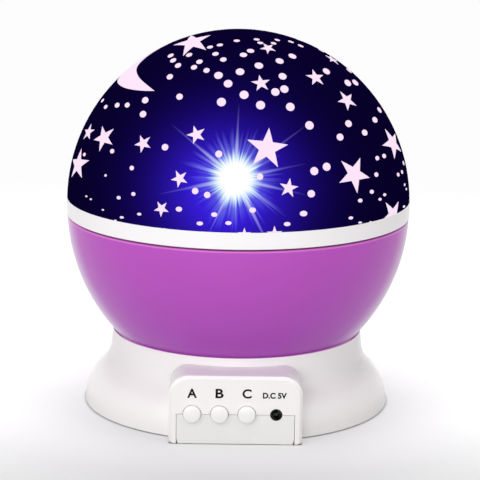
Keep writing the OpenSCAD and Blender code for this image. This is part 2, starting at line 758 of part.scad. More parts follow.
module motor_shaft() {
    low = deck_low - gearbox_h + 1.6;
    color("silver") translate([pinion_at[0], pinion_at[1], low])
        cylinder(r = pin_r, h = small_gear_z + small_gear_w - 0.1 - low, $fn = 48);
}

module lamp_post() {
    top = lamp_z - 2;
    color("white") difference() {
        union() {
            translate([0, 0, deck_low]) cylinder(r = post_r, h = top - deck_low, $fn = 64);
            translate([0, 0, deck_z]) cylinder(r = flange_screw_at + 3, h = flange_t, $fn = 64);
        }
        translate([0, 0, deck_low - 1]) cylinder(r = post_r - post_wall, h = top, $fn = 48);
        translate([0, 0, top - deck_low]) cylinder(r = post_r - post_wall, h = top, $fn = 48);
        // Groove of the clip
        translate([0, 0, clip_z - 0.1]) difference() {
            cylinder(r = post_r + 1, h = clip_t + 0.2, $fn = 64);
            translate([0, 0, -1]) cylinder(r = post_r - 0.5, h = clip_t + 3, $fn = 64);
        }
        for (a = [60, 180, 300]) rotate(a) {
            translate([flange_screw_at, 0, deck_low]) cylinder(r = small_screw_r + 0.1, h = 10, $fn = 24);
            translate([flange_screw_at, 0, washer_z - 0.9]) cylinder(r = 2, h = 2, $fn = 32);
        }
    }
}

module post_screws() {
    color("silver") for (a = [60, 180, 300]) rotate(a) translate([flange_screw_at, 0, washer_z - 0.1])
        screw(small_screw_r, deck_t + flange_t - 0.2, small_head_r, 0.8);
}

module thrust_washer() {
    color("ivory") translate([0, 0, washer_z]) difference() {
        cylinder(r = post_r + 3.2, h = washer_t, $fn = 64);
        translate([0, 0, -1]) cylinder(r = post_r + 0.1, h = washer_t + 2, $fn = 64);
    }
}

module post_clip() {
    color("dimgray") translate([0, 0, clip_z]) linear_extrude(clip_t) difference() {
        circle(r = post_r + 3, $fn = 64);
        circle(r = post_r - 0.45, $fn = 64);
        translate([-2.5, 0]) square([5, post_r + 4]);
    }
}

module lamp_holder() {
    top = lamp_z;
    rim = lamp_board_r + 1.2;
    color("white") rotate_extrude($fn = 96) polygon([
        [post_r + 0.1, top - 8], [post_r + 1.6, top - 8], [post_r + 1.8, top - 3.4], [rim, top - 1.4],
        [rim, top + 1.2], [lamp_board_r + 0.2, top + 1.2], [lamp_board_r + 0.2, top],
        [post_r - post_wall, top], [post_r - post_wall, top - 1.95], [post_r + 0.1, top - 1.95]
    ]);
}

module lamp_board() {
    color("darkgreen") translate([0, 0, lamp_z]) difference() {
        cylinder(r = lamp_board_r, h = lamp_board_t, $fn = 64);
        translate([0, 0, -1]) cylinder(r = 2, h = lamp_board_t + 2, $fn = 24);
    }
}

module leds() {
    r = led_d / 2;
    color("ivory") for (a = [0, 90, 180, 270]) rotate(a)
        translate([led_at, 0, lamp_z + lamp_board_t]) union() {
            cylinder(r = r + 0.4, h = 1, $fn = 32);
            cylinder(r = r, h = 5.2, $fn = 48);
            translate([0, 0, 5.2]) sphere(r = r, $fn = 48);
        }
}

module lamp_wires() {
    z = (tray_top + deck_low) / 2;
    top = lamp_z - 0.3;
    color("crimson") for (x = [-0.8, 0.8])
        wire(smooth([[x, 0, top], [x, 0, top - 20], [x, 0, top - 36], [x, 0, deck_z + 6],
                     [x, -1, deck_low + 1], [x, -4, z], [x * 2, -12, z], [x * 2, -24, z + 0.1],
                     [x * 2, -36, z], [x * 2, -board_y + board_t + 4, z - 1],
                     [x * 2, -board_y + board_t + 0.6, z - 2.2]]), wire_r);
}

module motor_wires() {
    z = motor_low + 3;
    edge = motor_at[1] - motor_d / 2;
    x = motor_at[0] - 5;
    color("royalblue") for (k = [0, 1]) let (gap = 1.7 * k)
        wire(smooth([[x - gap, edge - 0.3, z], [x - gap, edge - 5, z], [x - gap, edge - 11, z],
                     [x - 3 - gap, edge - 18, z], [x - 8 - gap, edge - 24, z + 1],
                     [16.5 - gap, 6 - board_y, z + 2], [15 - gap, 3 - board_y, z + 3],
                     [15 - gap, board_t + 0.3 - board_y, z + 3]]), wire_r);
}

module battery_wires() {
    z = cover_top + 4;
    x = -tray_x - tray_wall - 1.2;
    color("crimson") for (k = [0, 1]) let (gap = 1.7 * k)
        wire(smooth([[x - gap, 18, z], [x - gap, 4, z], [x - gap, -10, z], [x - gap, -22, z],
                     [x + 1 - gap, -31, z], [x + 5 - gap, -38, z + 1], [-15.5 - gap, 6 - board_y, z + 3],
                     [-14 - gap, 3 - board_y, z + 5], [-14 - gap, board_t + 0.3 - board_y, z + 5]]), wire_r);
}

// Space inside the bowl's outer face
module bowl_solid(off = 0, low = floor_z, high = mouth_z, chamfer = 0) {
    corner = bowl_side(high, off) - chamfer;
    out = corner + chamfer + 5;
    rotate_extrude($fn = 180) intersection() {
        translate([arc_x, arc_z]) circle(r = bowl_arc_r + off, $fn = 180);
        polygon(chamfer > 0
            ? [[0, low], [out, low], [out, high - out + corner], [corner, high], [0, high]]
            : [[0, low], [out, low], [out, high], [0, high]]);
    }
}

module bowl() {
    color("mediumorchid") difference() {
        union() {
            difference() {
                bowl_solid(0, floor_z, mouth_z, bowl_edge);
                bowl_solid(-bowl_wall, floor_z + bowl_wall, mouth_z + 1);
            }
            intersection() {
                bowl_solid(-bowl_wall / 2);
                for (a = [30, 150, 270]) rotate(a) translate([deck_screw_at, 0, floor_z])
                    cylinder(r = deck_boss_r, h = deck_seat - floor_z, $fn = 32);
            }
        }
        translate([0, 0, floor_z - 1]) cylinder(r = post_r + 3.1, h = bowl_wall + 2, $fn = 48);
        for (a = [0, 120, 240]) rotate(a) translate([hub_screw_at, 0, floor_z - 1])
            cylinder(r = small_screw_r + 0.1, h = bowl_wall + 2, $fn = 24);
        for (a = [30, 150, 270]) rotate(a) translate([deck_screw_at, 0, deck_seat - 8])
            cylinder(r = small_screw_r + 0.05, h = deck_screw_l, $fn = 24);
    }
}

module hub_gear() {
    sleeve_r = post_r + 3;
    color("ivory") difference() {
        union() {
            translate([0, 0, gear_z]) gear(hub_teeth, gear_w, post_r + run_gap, idler_dir);
            translate([0, 0, gear_z]) cylinder(r = sleeve_r, h = sleeve_top - gear_z, $fn = 64);
        }
        translate([0, 0, gear_z - 1]) cylinder(r = post_r + run_gap, h = sleeve_top, $fn = 64);
        for (a = [0, 120, 240]) rotate(a) translate([hub_screw_at, 0, gear_z + 0.6])
            cylinder(r = small_screw_r + 0.05, h = gear_w + 1, $fn = 24);
    }
}

module hub_screws() {
    color("silver") for (a = [0, 120, 240]) rotate(a)
        translate([hub_screw_at, 0, floor_z + bowl_wall + small_head_h])
            screw(small_screw_r, bowl_wall + gear_w, small_head_r, small_head_h);
}

module globe_deck() {
    edge = bowl_side(deck_seat, -bowl_wall) - lug_gap - 0.2;
    hole_room = 2.5;
    hole = post_r + hole_room;
    wall_in = deck_wall_out - deck_wall;
    fillet = 1.2;
    collar_t = 1.5;
    collar_top = deck_seat + 4;
    plate_top = deck_seat + deck_plate_t;
    color("white") difference() {
        union() {
            rotate_extrude($fn = 144) polygon([
                [hole, deck_seat], [edge, deck_seat], [edge, plate_top], [deck_wall_out, plate_top],
                [deck_wall_out, deck_wall_top], [wall_in, deck_wall_top], [wall_in, plate_top + fillet],
                [wall_in - fillet, plate_top], [hole + collar_t, plate_top],
                [hole + collar_t, collar_top], [hole, collar_top]
            ]);
            for (a = bayonet_dirs) {
                translate([0, 0, tab_low]) linear_extrude(lug_h)
                    sector(deck_wall_out - 0.5, tab_out, a - tab_arc / 2, a + tab_arc / 2);
                translate([0, 0, lug_low]) linear_extrude(tab_low - lug_low + eps)
                    sector(deck_wall_out - 0.5, tab_out, a - tab_arc / 2, a - lug_arc / 2 - 0.8);
            }
        }
        for (a = [30, 150, 270]) rotate(a) translate([deck_screw_at, 0, deck_seat - 1])
            cylinder(r = small_screw_r + 0.2, h = deck_plate_t + 2, $fn = 24);
    }
}

module deck_screws() {
    color("silver") for (a = [30, 150, 270]) rotate(a)
        translate([deck_screw_at, 0, deck_seat + deck_plate_t + small_head_h])
            screw(small_screw_r, deck_screw_l, small_head_r, small_head_h);
}

// A spherical shell above a level
module dome_cap(r_out, r_in, low) {
    translate([0, 0, centre_z]) rotate_extrude($fn = 180) difference() {
        intersection() {
            circle(r = r_out, $fn = 180);
            translate([0, low - centre_z]) square([r_out + 1, r_out + 10]);
        }
        circle(r = r_in, $fn = 180);
    }
}

spigot_out = globe_r - dome_wall - 0.1;
spigot_wall = 1.5;
spigot_l = 3.6;

module dome_shell() {
    color("midnightblue") union() {
        dome_cap(globe_r, globe_r - dome_wall, ring_top);
        rotate_extrude($fn = 180) polygon([
            [spigot_out - spigot_wall, ring_top - spigot_l], [spigot_out, ring_top - spigot_l],
            [spigot_out, ring_top], [globe_r - dome_wall / 2, ring_top],
            [globe_r - dome_wall / 2, ring_top + 4], [spigot_out - spigot_wall, ring_top + 4]
        ]);
    }
}

module star_film() {
    out = globe_r - dome_wall - 0.15;
    color("navy") dome_cap(out, out - film_t, ring_top + 5);
}

module dome_ring() {
    top_r = sqrt(pow(globe_r, 2) - pow(ring_rise, 2)) - 0.05;
    low_r = globe_r - ring_taper;
    seat_r = spigot_out + 0.1;
    seat_z = ring_top - spigot_l - 0.05;
    skirt_low = lug_low - 0.2;
    edge = 0.3;
    color("white") union() {
        rotate_extrude($fn = 180) polygon(concat(
            [[skirt_in, skirt_low], [skirt_out, skirt_low], [skirt_out, ring_low]],
            arc([low_r - edge, ring_low + edge], edge, -90, 0, 4),
            [[top_r, ring_top], [seat_r, ring_top], [seat_r, seat_z], [skirt_in, seat_z]]
        ));
        for (a = bayonet_dirs) translate([0, 0, lug_low]) linear_extrude(lug_h)
            sector(lug_in, skirt_in + 0.3, a - lug_arc / 2, a + lug_arc / 2);
    }
}

base_shell();
bottom_cover();
rubber_feet();
base_screws();
battery_cells();
battery_springs();
battery_contacts();
control_board();
board_parts();
tact_switches();
dc_socket();
socket_pin();
motor_can();
motor_gearbox();
motor_screws();
idler_pin();
lamp_post();
post_screws();
thrust_washer();
post_clip();
lamp_holder();
lamp_board();
leds();
lamp_wires();
motor_wires();
battery_wires();
bowl();
hub_gear();
hub_screws();
globe_deck();
deck_screws();
dome_shell();
star_film();
dome_ring();
idler_gear();
motor_pinion();
motor_shaft();
button_light();
button_colour();
button_rotate();
battery_door();
door_screw();
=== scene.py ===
"""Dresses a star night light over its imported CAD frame.

It makes the finishes, the printed sky, the panel's marks and the studio. Classes hold their sizes
in millimetres and degrees, and MM turns millimetres into Blender's metres. On the dome, a bearing
runs from the front (-Y) towards the right (+X), and a height is the angle above the ball's middle.

In a finish, a size is that of a pattern's patches and a depth that of its relief. An edge is the
two levels between which a soft step rises, a share or gain is how strongly a layer shows, and a
loss is the share of light that it takes away.
"""

import json
import logging
import math
import random
from collections.abc import Iterable, Iterator
from dataclasses import dataclass, replace
from enum import Enum
from typing import Any

import bmesh
import bpy
from mathutils import Matrix, Vector

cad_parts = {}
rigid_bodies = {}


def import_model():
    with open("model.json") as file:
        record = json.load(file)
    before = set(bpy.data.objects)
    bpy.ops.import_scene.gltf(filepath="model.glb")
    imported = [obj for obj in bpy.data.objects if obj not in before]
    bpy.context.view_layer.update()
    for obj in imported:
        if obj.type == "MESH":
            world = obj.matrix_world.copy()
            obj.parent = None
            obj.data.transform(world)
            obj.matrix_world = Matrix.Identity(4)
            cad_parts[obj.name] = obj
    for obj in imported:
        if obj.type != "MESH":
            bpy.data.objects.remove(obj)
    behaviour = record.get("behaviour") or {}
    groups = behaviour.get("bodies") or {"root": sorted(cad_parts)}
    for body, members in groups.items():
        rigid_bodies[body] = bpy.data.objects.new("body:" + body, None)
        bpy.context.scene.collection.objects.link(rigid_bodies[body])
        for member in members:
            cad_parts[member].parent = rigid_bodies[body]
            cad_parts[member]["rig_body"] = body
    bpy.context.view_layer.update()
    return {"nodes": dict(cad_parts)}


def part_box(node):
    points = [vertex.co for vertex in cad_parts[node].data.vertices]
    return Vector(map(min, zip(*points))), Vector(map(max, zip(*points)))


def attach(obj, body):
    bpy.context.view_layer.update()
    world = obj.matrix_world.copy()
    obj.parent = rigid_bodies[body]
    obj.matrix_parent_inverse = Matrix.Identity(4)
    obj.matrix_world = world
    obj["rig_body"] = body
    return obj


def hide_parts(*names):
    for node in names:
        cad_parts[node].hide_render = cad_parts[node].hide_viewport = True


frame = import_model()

MM = 0.001
Rgb = tuple[float, float, float]
Triple = tuple[float, float, float]
Pair = tuple[float, float]
# How far above level the middle of the dome's print looks, in degrees.
PRINT_LEAN = 12.7
BLACK: Rgb = (0.0, 0.0, 0.0)
WHITE: Rgb = (1.0, 1.0, 1.0)
# How many finer layers a noise has.
SMOOTH, COARSE, MEDIUM, FINE, VERY_FINE = 0.0, 1.0, 2.0, 3.0, 4.0
log = logging.getLogger("night_light")


def display(red: float, green: float, blue: float) -> Rgb:
    """Turns a colour as a screen shows it, 0 to 255 each, into the linear colour that a node takes.

    Args:
        red: Red level.
        green: Green level.
        blue: Blue level.

    Returns:
        The linear colour, 0 to 1 each.
    """

    def linear(level: float) -> float:
        """Undoes the screen's curve for one level."""
        part = level / 255
        return part / 12.92 if part <= 0.04045 else ((part + 0.055) / 1.055) ** 2.4

    return linear(red), linear(green), linear(blue)


def darker(colour: Rgb, share: float) -> Rgb:
    """Takes a share of the light out of a colour."""
    return tuple(level * (1 - share) for level in colour)


class Wire:
    """A node's output socket, which adds Math nodes when it is used in an expression."""

    def __init__(self, graph: "Graph", socket: bpy.types.NodeSocket) -> None:
        """Keeps the socket and the graph that it is in."""
        self.graph = graph
        self.socket = socket

    def __add__(self, other: "Wire | float") -> "Wire":
        """Adds a wire or number to this wire."""
        return self.graph.math("ADD", self, other)

    __radd__ = __add__

    def __sub__(self, other: "Wire | float") -> "Wire":
        """Takes a wire or number from this wire."""
        return self.graph.math("SUBTRACT", self, other)

    def __rsub__(self, other: float) -> "Wire":
        """Takes this wire from a number."""
        return self.graph.math("SUBTRACT", other, self)

    def __mul__(self, other: "Wire | float") -> "Wire":
        """Multiplies this wire by a wire or number."""
        return self.graph.math("MULTIPLY", self, other)

    __rmul__ = __mul__

    def __truediv__(self, other: "Wire | float") -> "Wire":
        """Divides this wire by a wire or number."""
        return self.graph.math("DIVIDE", self, other)

    def __pow__(self, power: float) -> "Wire":
        """Raises this wire to a power."""
        return self.graph.math("POWER", self, power)

    def __neg__(self) -> "Wire":
        """Changes this wire's sign."""
        return self * -1.0

    def __abs__(self) -> "Wire":
        """Takes off this wire's sign."""
        return self.graph.math("ABSOLUTE", self)

    def clamped(self) -> "Wire":
        """Holds this wire between 0 and 1."""
        return self.graph.wire("ShaderNodeClamp", {"Value": self})


class Graph:
    """One node tree, to which nodes are added and joined."""

    def __init__(self, tree: bpy.types.NodeTree) -> None:
        """Keeps the tree."""
        self.tree = tree

    def node(self, kind: str, inputs: dict[Any, Any] | None = None,
             **settings: Any) -> bpy.types.Node:
        """Adds one node.

        Args:
            kind: Blender's name for the node's type.
            inputs: Values or wires, by the socket's name or number.
            settings: What is set on the node itself, before its sockets.

        Returns:
            The node.
        """
        made = self.tree.nodes.new(kind)
        for name, value in settings.items():
            setattr(made, name, value)
        for key, value in (inputs or {}).items():
            socket = made.inputs[key]
            if isinstance(value, Wire):
                self.tree.links.new(value.socket, socket)
            elif socket.type == "RGBA":
                socket.default_value = (*value, 1.0)
            else:
                socket.default_value = value
        return made

    def wire(self, kind: str, inputs: dict[Any, Any] | None = None, output: int | str = 0,
             **settings: Any) -> Wire:
        """Adds one node, as node() does, and gives one of its outputs by name or number."""
        return Wire(self, self.node(kind, inputs, **settings).outputs[output])

    def math(self, operation: str, *operands: Wire | float) -> Wire:
        """Adds a Math node over its operands."""
        return self.wire("ShaderNodeMath", dict(enumerate(operands)), operation=operation)

    def vector(self, operation: str, *operands: Any) -> Wire:
        """Adds a Vector Math node.

        Args:
            operation: Blender's name for what it does.
            operands: The vectors it takes, or a vector and a number to scale it by.

        Returns:
            Its outcome.
        """
        inputs = dict(enumerate(operands))
        if operation == "SCALE":
            inputs = {0: operands[0], "Scale": operands[1]}
        return self.wire("ShaderNodeVectorMath", inputs, operation=operation)

    def joined(self, x: Wire | float, y: Wire | float, z: Wire | float) -> Wire:
        """Makes a vector of three numbers."""
        return self.wire("ShaderNodeCombineXYZ", {0: x, 1: y, 2: z})

    def distance(self, across: Wire, up: Wire) -> Wire:
        """Gives how far a place lies from the middle."""
        return self.math("SQRT", across * across + up * up)

    def blend(self, share: Wire | float, first: Wire | Rgb, second: Wire | Rgb) -> Wire:
        """Mixes two colours by a share of the second."""
        inputs = {0: share, 6: first, 7: second}
        return self.wire("ShaderNodeMix", inputs, 2, data_type="RGBA", clamp_factor=True)

    def rise(self, value: Wire, low: float, high: float) -> Wire:
        """Gives a soft step, 0 below low and 1 above high."""
        inputs = {"Value": value, "From Min": low, "From Max": high}
        return self.wire("ShaderNodeMapRange", inputs, interpolation_type="SMOOTHSTEP")

    def place(self) -> Wire:
        """Gives the place on the object, in millimetres."""
        return self.vector("SCALE", self.wire("ShaderNodeTexCoord", output="Object"), 1 / MM)

    def split(self, vector: Wire) -> tuple[Wire, Wire, Wire]:
        """Gives a vector's three numbers."""
        x, y, z = self.node("ShaderNodeSeparateXYZ", {0: vector}).outputs
        return Wire(self, x), Wire(self, y), Wire(self, z)

    def noise(self, place: Wire, size: float, detail: float = MEDIUM) -> Wire:
        """Gives cloudy noise around 0.5 whose patches have a size in millimetres."""
        inputs = {"Vector": place, "Scale": 1 / size, "Detail": detail}
        return self.wire("ShaderNodeTexNoise", inputs, noise_dimensions="3D")

    def bump(self, height: Wire, depth: float) -> Wire:
        """Turns a height from 0 to 1 into a normal, for a depth in millimetres."""
        return self.wire("ShaderNodeBump", {"Distance": depth * MM, "Height": height})


def cleared_graph(owner: bpy.types.Material | bpy.types.World) -> Graph:
    """Gives a material's or surround's own graph, emptied.

    Args:
        owner: The material or surround.

    Returns:
        The graph.
    """
    owner.use_nodes = True
    owner.node_tree.nodes.clear()
    return Graph(owner.node_tree)


@dataclass(frozen=True)
class Finish:
    """A finish that makes one material from what it puts on a Principled shader."""

    name: str
    colour: Rgb

    def inputs(self, graph: Graph) -> dict[str, Any]:
        """Gives the shader's inputs by name."""
        raise NotImplementedError

    def material(self) -> bpy.types.Material:
        """Makes the material the first time, and finds it after that.

        Returns:
            The material.
        """
        known = bpy.data.materials.get(self.name)
        if known is not None:
            return known
        made = bpy.data.materials.new(self.name)
        graph = cleared_graph(made)
        shader = graph.wire("ShaderNodeBsdfPrincipled", self.inputs(graph))
        graph.node("ShaderNodeOutputMaterial", {"Surface": shader})
        return made


@dataclass(frozen=True)
class MouldedPlastic(Finish):
    """Injection moulded plastic: faint cloud in its colour, a fine skin and a chosen gloss."""

    roughness: float = 0.25
    specular: float = 0.5
    cloud: float = 0.02
    cloud_size: float = 16.0
    gloss_change: float = 0.25
    grain_size: float = 0.5
    grain_depth: float = 0.002

    def inputs(self, graph: Graph) -> dict[str, Any]:
        """Gives a clouded colour, uneven gloss and a fine skin.

        Args:
            graph: The material's graph.

        Returns:
            The shader's inputs.
        """
        place = graph.place()
        cloud = graph.noise(place, self.cloud_size)
        skin = graph.noise(place, self.grain_size, FINE)
        return {
            "Base Color": graph.blend(cloud, darker(self.colour, self.cloud), self.colour),
            "Roughness": self.roughness + (cloud - 0.5) * (self.roughness * self.gloss_change),
            "Specular IOR Level": self.specular,
            "Normal": graph.bump(skin, self.grain_depth),
        }


@dataclass(frozen=True)
class ToneBand:
    """A change of tone with height in millimetres: none at one height and full at the other."""

    none_at: float
    full_at: float
    tone: Rgb

    def share(self, height: Wire) -> Wire:
        """Gives the band's share, 0 to 1, at a height."""
        return ((height - self.none_at) / (self.full_at - self.none_at)).clamped()


@dataclass(frozen=True)
class BandedPlastic(MouldedPlastic):
    """Moulded plastic whose tone changes with height, where bands paint shade or a highlight.

    It may turn paler where seen edge on, as a painted sheen, and give off a painted glow over a
    band.
    """

    bands: tuple[ToneBand, ...] = ()
    painted_sheen: float = 0.0
    painted_sheen_tone: Rgb = WHITE
    painted_sheen_edge: Pair = (0.66, 1.02)
    painted_glow: ToneBand | None = None

    def inputs(self, graph: Graph) -> dict[str, Any]:
        """Gives moulded plastic with its painted bands and painted sheen over the colour, and its
        painted glow.

        Args:
            graph: The material's graph.

        Returns:
            The shader's inputs.
        """
        inputs = super().inputs(graph)
        _, _, z = graph.split(graph.place())
        tone = inputs["Base Color"]
        for band in self.bands:
            tone = graph.blend(band.share(z), tone, band.tone)
        # Painted sheen: the colour turns paler where the surface is seen edge on.
        if self.painted_sheen:
            edge = graph.wire("ShaderNodeLayerWeight", {"Blend": 0.5}, "Facing")
            tone = graph.blend(graph.rise(edge, *self.painted_sheen_edge) * self.painted_sheen, tone, self.painted_sheen_tone)
        # Painted glow: a band that gives off light, though no lamp is in it.
        if self.painted_glow:
            glow = graph.blend(self.painted_glow.share(z), BLACK, self.painted_glow.tone)
            inputs |= {"Emission Color": glow, "Emission Strength": 1.0}
        return inputs | {"Base Color": tone}


@dataclass(frozen=True)
class Rubber(Finish):
    """Moulded rubber with a dusty bloom."""

    roughness: float = 0.75
    specular: float = 0.35
    bloom_size: float = 3.0
    bloom_edge: Pair = (0.45, 0.75)
    bloom_share: float = 0.25
    bloom_tone: Rgb = display(120, 120, 122)
    bloom_roughness: float = 0.15
    pebble_size: float = 0.35
    pebble_depth: float = 0.03

    def inputs(self, graph: Graph) -> dict[str, Any]:
        """Gives dark rubber with paler bloom and a pebbled skin.

        Args:
            graph: The material's graph.

        Returns:
            The shader's inputs.
        """
        place = graph.place()
        bloom = graph.rise(graph.noise(place, self.bloom_size, VERY_FINE), *self.bloom_edge)
        pebbles = graph.noise(place, self.pebble_size, FINE)
        return {
            "Base Color": graph.blend(bloom * self.bloom_share, self.colour, self.bloom_tone),
            "Roughness": self.roughness + bloom * self.bloom_roughness,
            "Specular IOR Level": self.specular,
            "Normal": graph.bump(pebbles, self.pebble_depth),
        }


@dataclass(frozen=True)
class BrightSteel(Finish):
    """Zinc plated or rolled steel: fine lines drawn along one axis, and dull, worn patches."""

    roughness: float = 0.28
    along: Triple = (0.05, 1.0, 1.0)
    line_size: float = 0.12
    line_depth: float = 0.004
    line_roughness: float = 0.12
    dull_size: float = 2.5
    dull_edge: Pair = (0.5, 0.8)
    dull_share: float = 0.4
    dull_loss: float = 0.3
    dull_roughness: float = 0.1

    def inputs(self, graph: Graph) -> dict[str, Any]:
        """Gives metal whose gloss and height follow drawn lines.

        Args:
            graph: The material's graph.

        Returns:
            The shader's inputs.
        """
        place = graph.place()
        lines = graph.noise(graph.vector("MULTIPLY", place, self.along), self.line_size, FINE)
        dull = graph.rise(graph.noise(place, self.dull_size, FINE), *self.dull_edge)
        worn = darker(self.colour, self.dull_loss)
        return {
            "Base Color": graph.blend(dull * self.dull_share, self.colour, worn),
            "Metallic": 1.0,
            "Roughness": self.roughness + lines * self.line_roughness + dull * self.dull_roughness,
            "Normal": graph.bump(lines, self.line_depth),
        }


@dataclass(frozen=True)
class SolderMask(Finish):
    """A circuit board: varnish over copper tracks, with the cloth of the laminate in it."""

    track_pitch: float = 2.54
    track_width: float = 0.5
    track_edge: Pair = (0.4, 0.6)
    track_slant: float = 0.5
    track_depth: float = 0.035
    track_tone: Rgb = display(70, 150, 90)
    run_size: float = 6.0
    run_edge: Pair = (0.48, 0.52)
    cloth_size: float = 0.4
    cloth_grain: Triple = (1.0, 0.3, 1.0)
    cloth_share: float = 0.15
    cloth_loss: float = 0.5
    cloth_roughness: float = 0.1
    roughness: float = 0.3
    coat: float = 0.3

    def inputs(self, graph: Graph) -> dict[str, Any]:
        """Gives varnish that is paler and raised over its tracks.

        Args:
            graph: The material's graph.

        Returns:
            The shader's inputs.
        """
        place = graph.place()
        x, y, z = graph.split(place)
        half = self.track_pitch / 2
        across = abs(graph.math("PINGPONG", x + y * self.track_slant + z, half) - half / 2)
        run = graph.rise(graph.noise(place, self.run_size, SMOOTH), *self.run_edge)
        edges = (self.track_width * share for share in self.track_edge)
        track = (1 - graph.rise(across, *edges)) * run
        grain = graph.vector("MULTIPLY", place, self.cloth_grain)
        cloth = graph.noise(grain, self.cloth_size, COARSE)
        varnish = graph.blend(track, self.colour, self.track_tone)
        weave = darker(self.colour, self.cloth_loss)
        return {
            "Base Color": graph.blend(cloth * self.cloth_share, varnish, weave),
            "Roughness": self.roughness + cloth * self.cloth_roughness,
            "Coat Weight": self.coat,
            "Normal": graph.bump(track, self.track_depth),
        }


@dataclass(frozen=True)
class CellSleeve(Finish):
    """A battery's shrink sleeve: a pale band near one end, and bare metal at both tips."""

    roughness: float = 0.24
    sleeve_half: float = 21.0
    band: Pair = (11.0, 14.0)
    band_tone: Rgb = (0.82, 0.80, 0.70)
    metal_tone: Rgb = display(205, 205, 208)
    edge: float = 0.1
    scuff_size: float = 1.5
    scuff_depth: float = 0.01
    scuff_roughness: float = 0.14

    def inputs(self, graph: Graph) -> dict[str, Any]:
        """Gives the sleeve, its band and the bare tips by the distance along the cell.

        Args:
            graph: The material's graph.

        Returns:
            The shader's inputs.
        """
        place = graph.place()
        along, _, _ = graph.split(place)
        past_low, past_high = (graph.rise(along, end, end + self.edge) for end in self.band)
        tip = graph.rise(abs(along), self.sleeve_half, self.sleeve_half + self.edge)
        sleeve = graph.blend(past_low * (1 - past_high), self.colour, self.band_tone)
        scuff = graph.noise(place, self.scuff_size, VERY_FINE)
        return {
            "Base Color": graph.blend(tip, sleeve, self.metal_tone),
            "Metallic": tip,
            "Roughness": self.roughness + scuff * self.scuff_roughness,
            "Normal": graph.bump(scuff, self.scuff_depth),
        }


@dataclass(frozen=True)
class ClearEpoxy(Finish):
    """A lamp's clear moulded lens, which glows faintly."""

    roughness: float = 0.04
    clearness: float = 0.6
    refraction: float = 1.54
    swirl_size: float = 2.0
    swirl_loss: float = 0.06
    swirl_roughness: float = 0.03
    cool: Rgb = display(205, 225, 255)
    pale: Rgb = display(235, 245, 255)
    glow: float = 0.6

    def inputs(self, graph: Graph) -> dict[str, Any]:
        """Gives a clear, glossy lens with its light in it.

        Args:
            graph: The material's graph.

        Returns:
            The shader's inputs.
        """
        swirl = graph.noise(graph.place(), self.swirl_size)
        return {
            "Base Color": graph.blend(swirl, darker(self.colour, self.swirl_loss), self.colour),
            "Roughness": self.roughness + swirl * self.swirl_roughness,
            "Transmission Weight": self.clearness,
            "IOR": self.refraction,
            "Emission Color": graph.blend(swirl, self.cool, self.pale),
            "Emission Strength": self.glow,
        }


@dataclass(frozen=True)
class Ray:
    """One long ray of the lamp's glare: its angle from level, its length and its strength."""

    angle: float
    length: float
    strength: float


GLARE_RAYS = tuple(Ray(*row) for row in (
    (88, 26, 0.8), (38, 31, 0.6), (13, 25, 0.45), (-12, 25, 0.7), (-36, 22, 0.55),
    (-62.5, 32, 0.9), (-89, 16, 0.35), (-99, 14, 0.6), (-115, 22, 0.8), (-143, 13, 0.35),
    (-168, 27, 0.6), (163, 20, 0.4), (147, 17, 0.5), (140, 29, 0.8), (113, 18, 0.5),
    (102, 13, 0.4), (55, 12, 0.4),
))


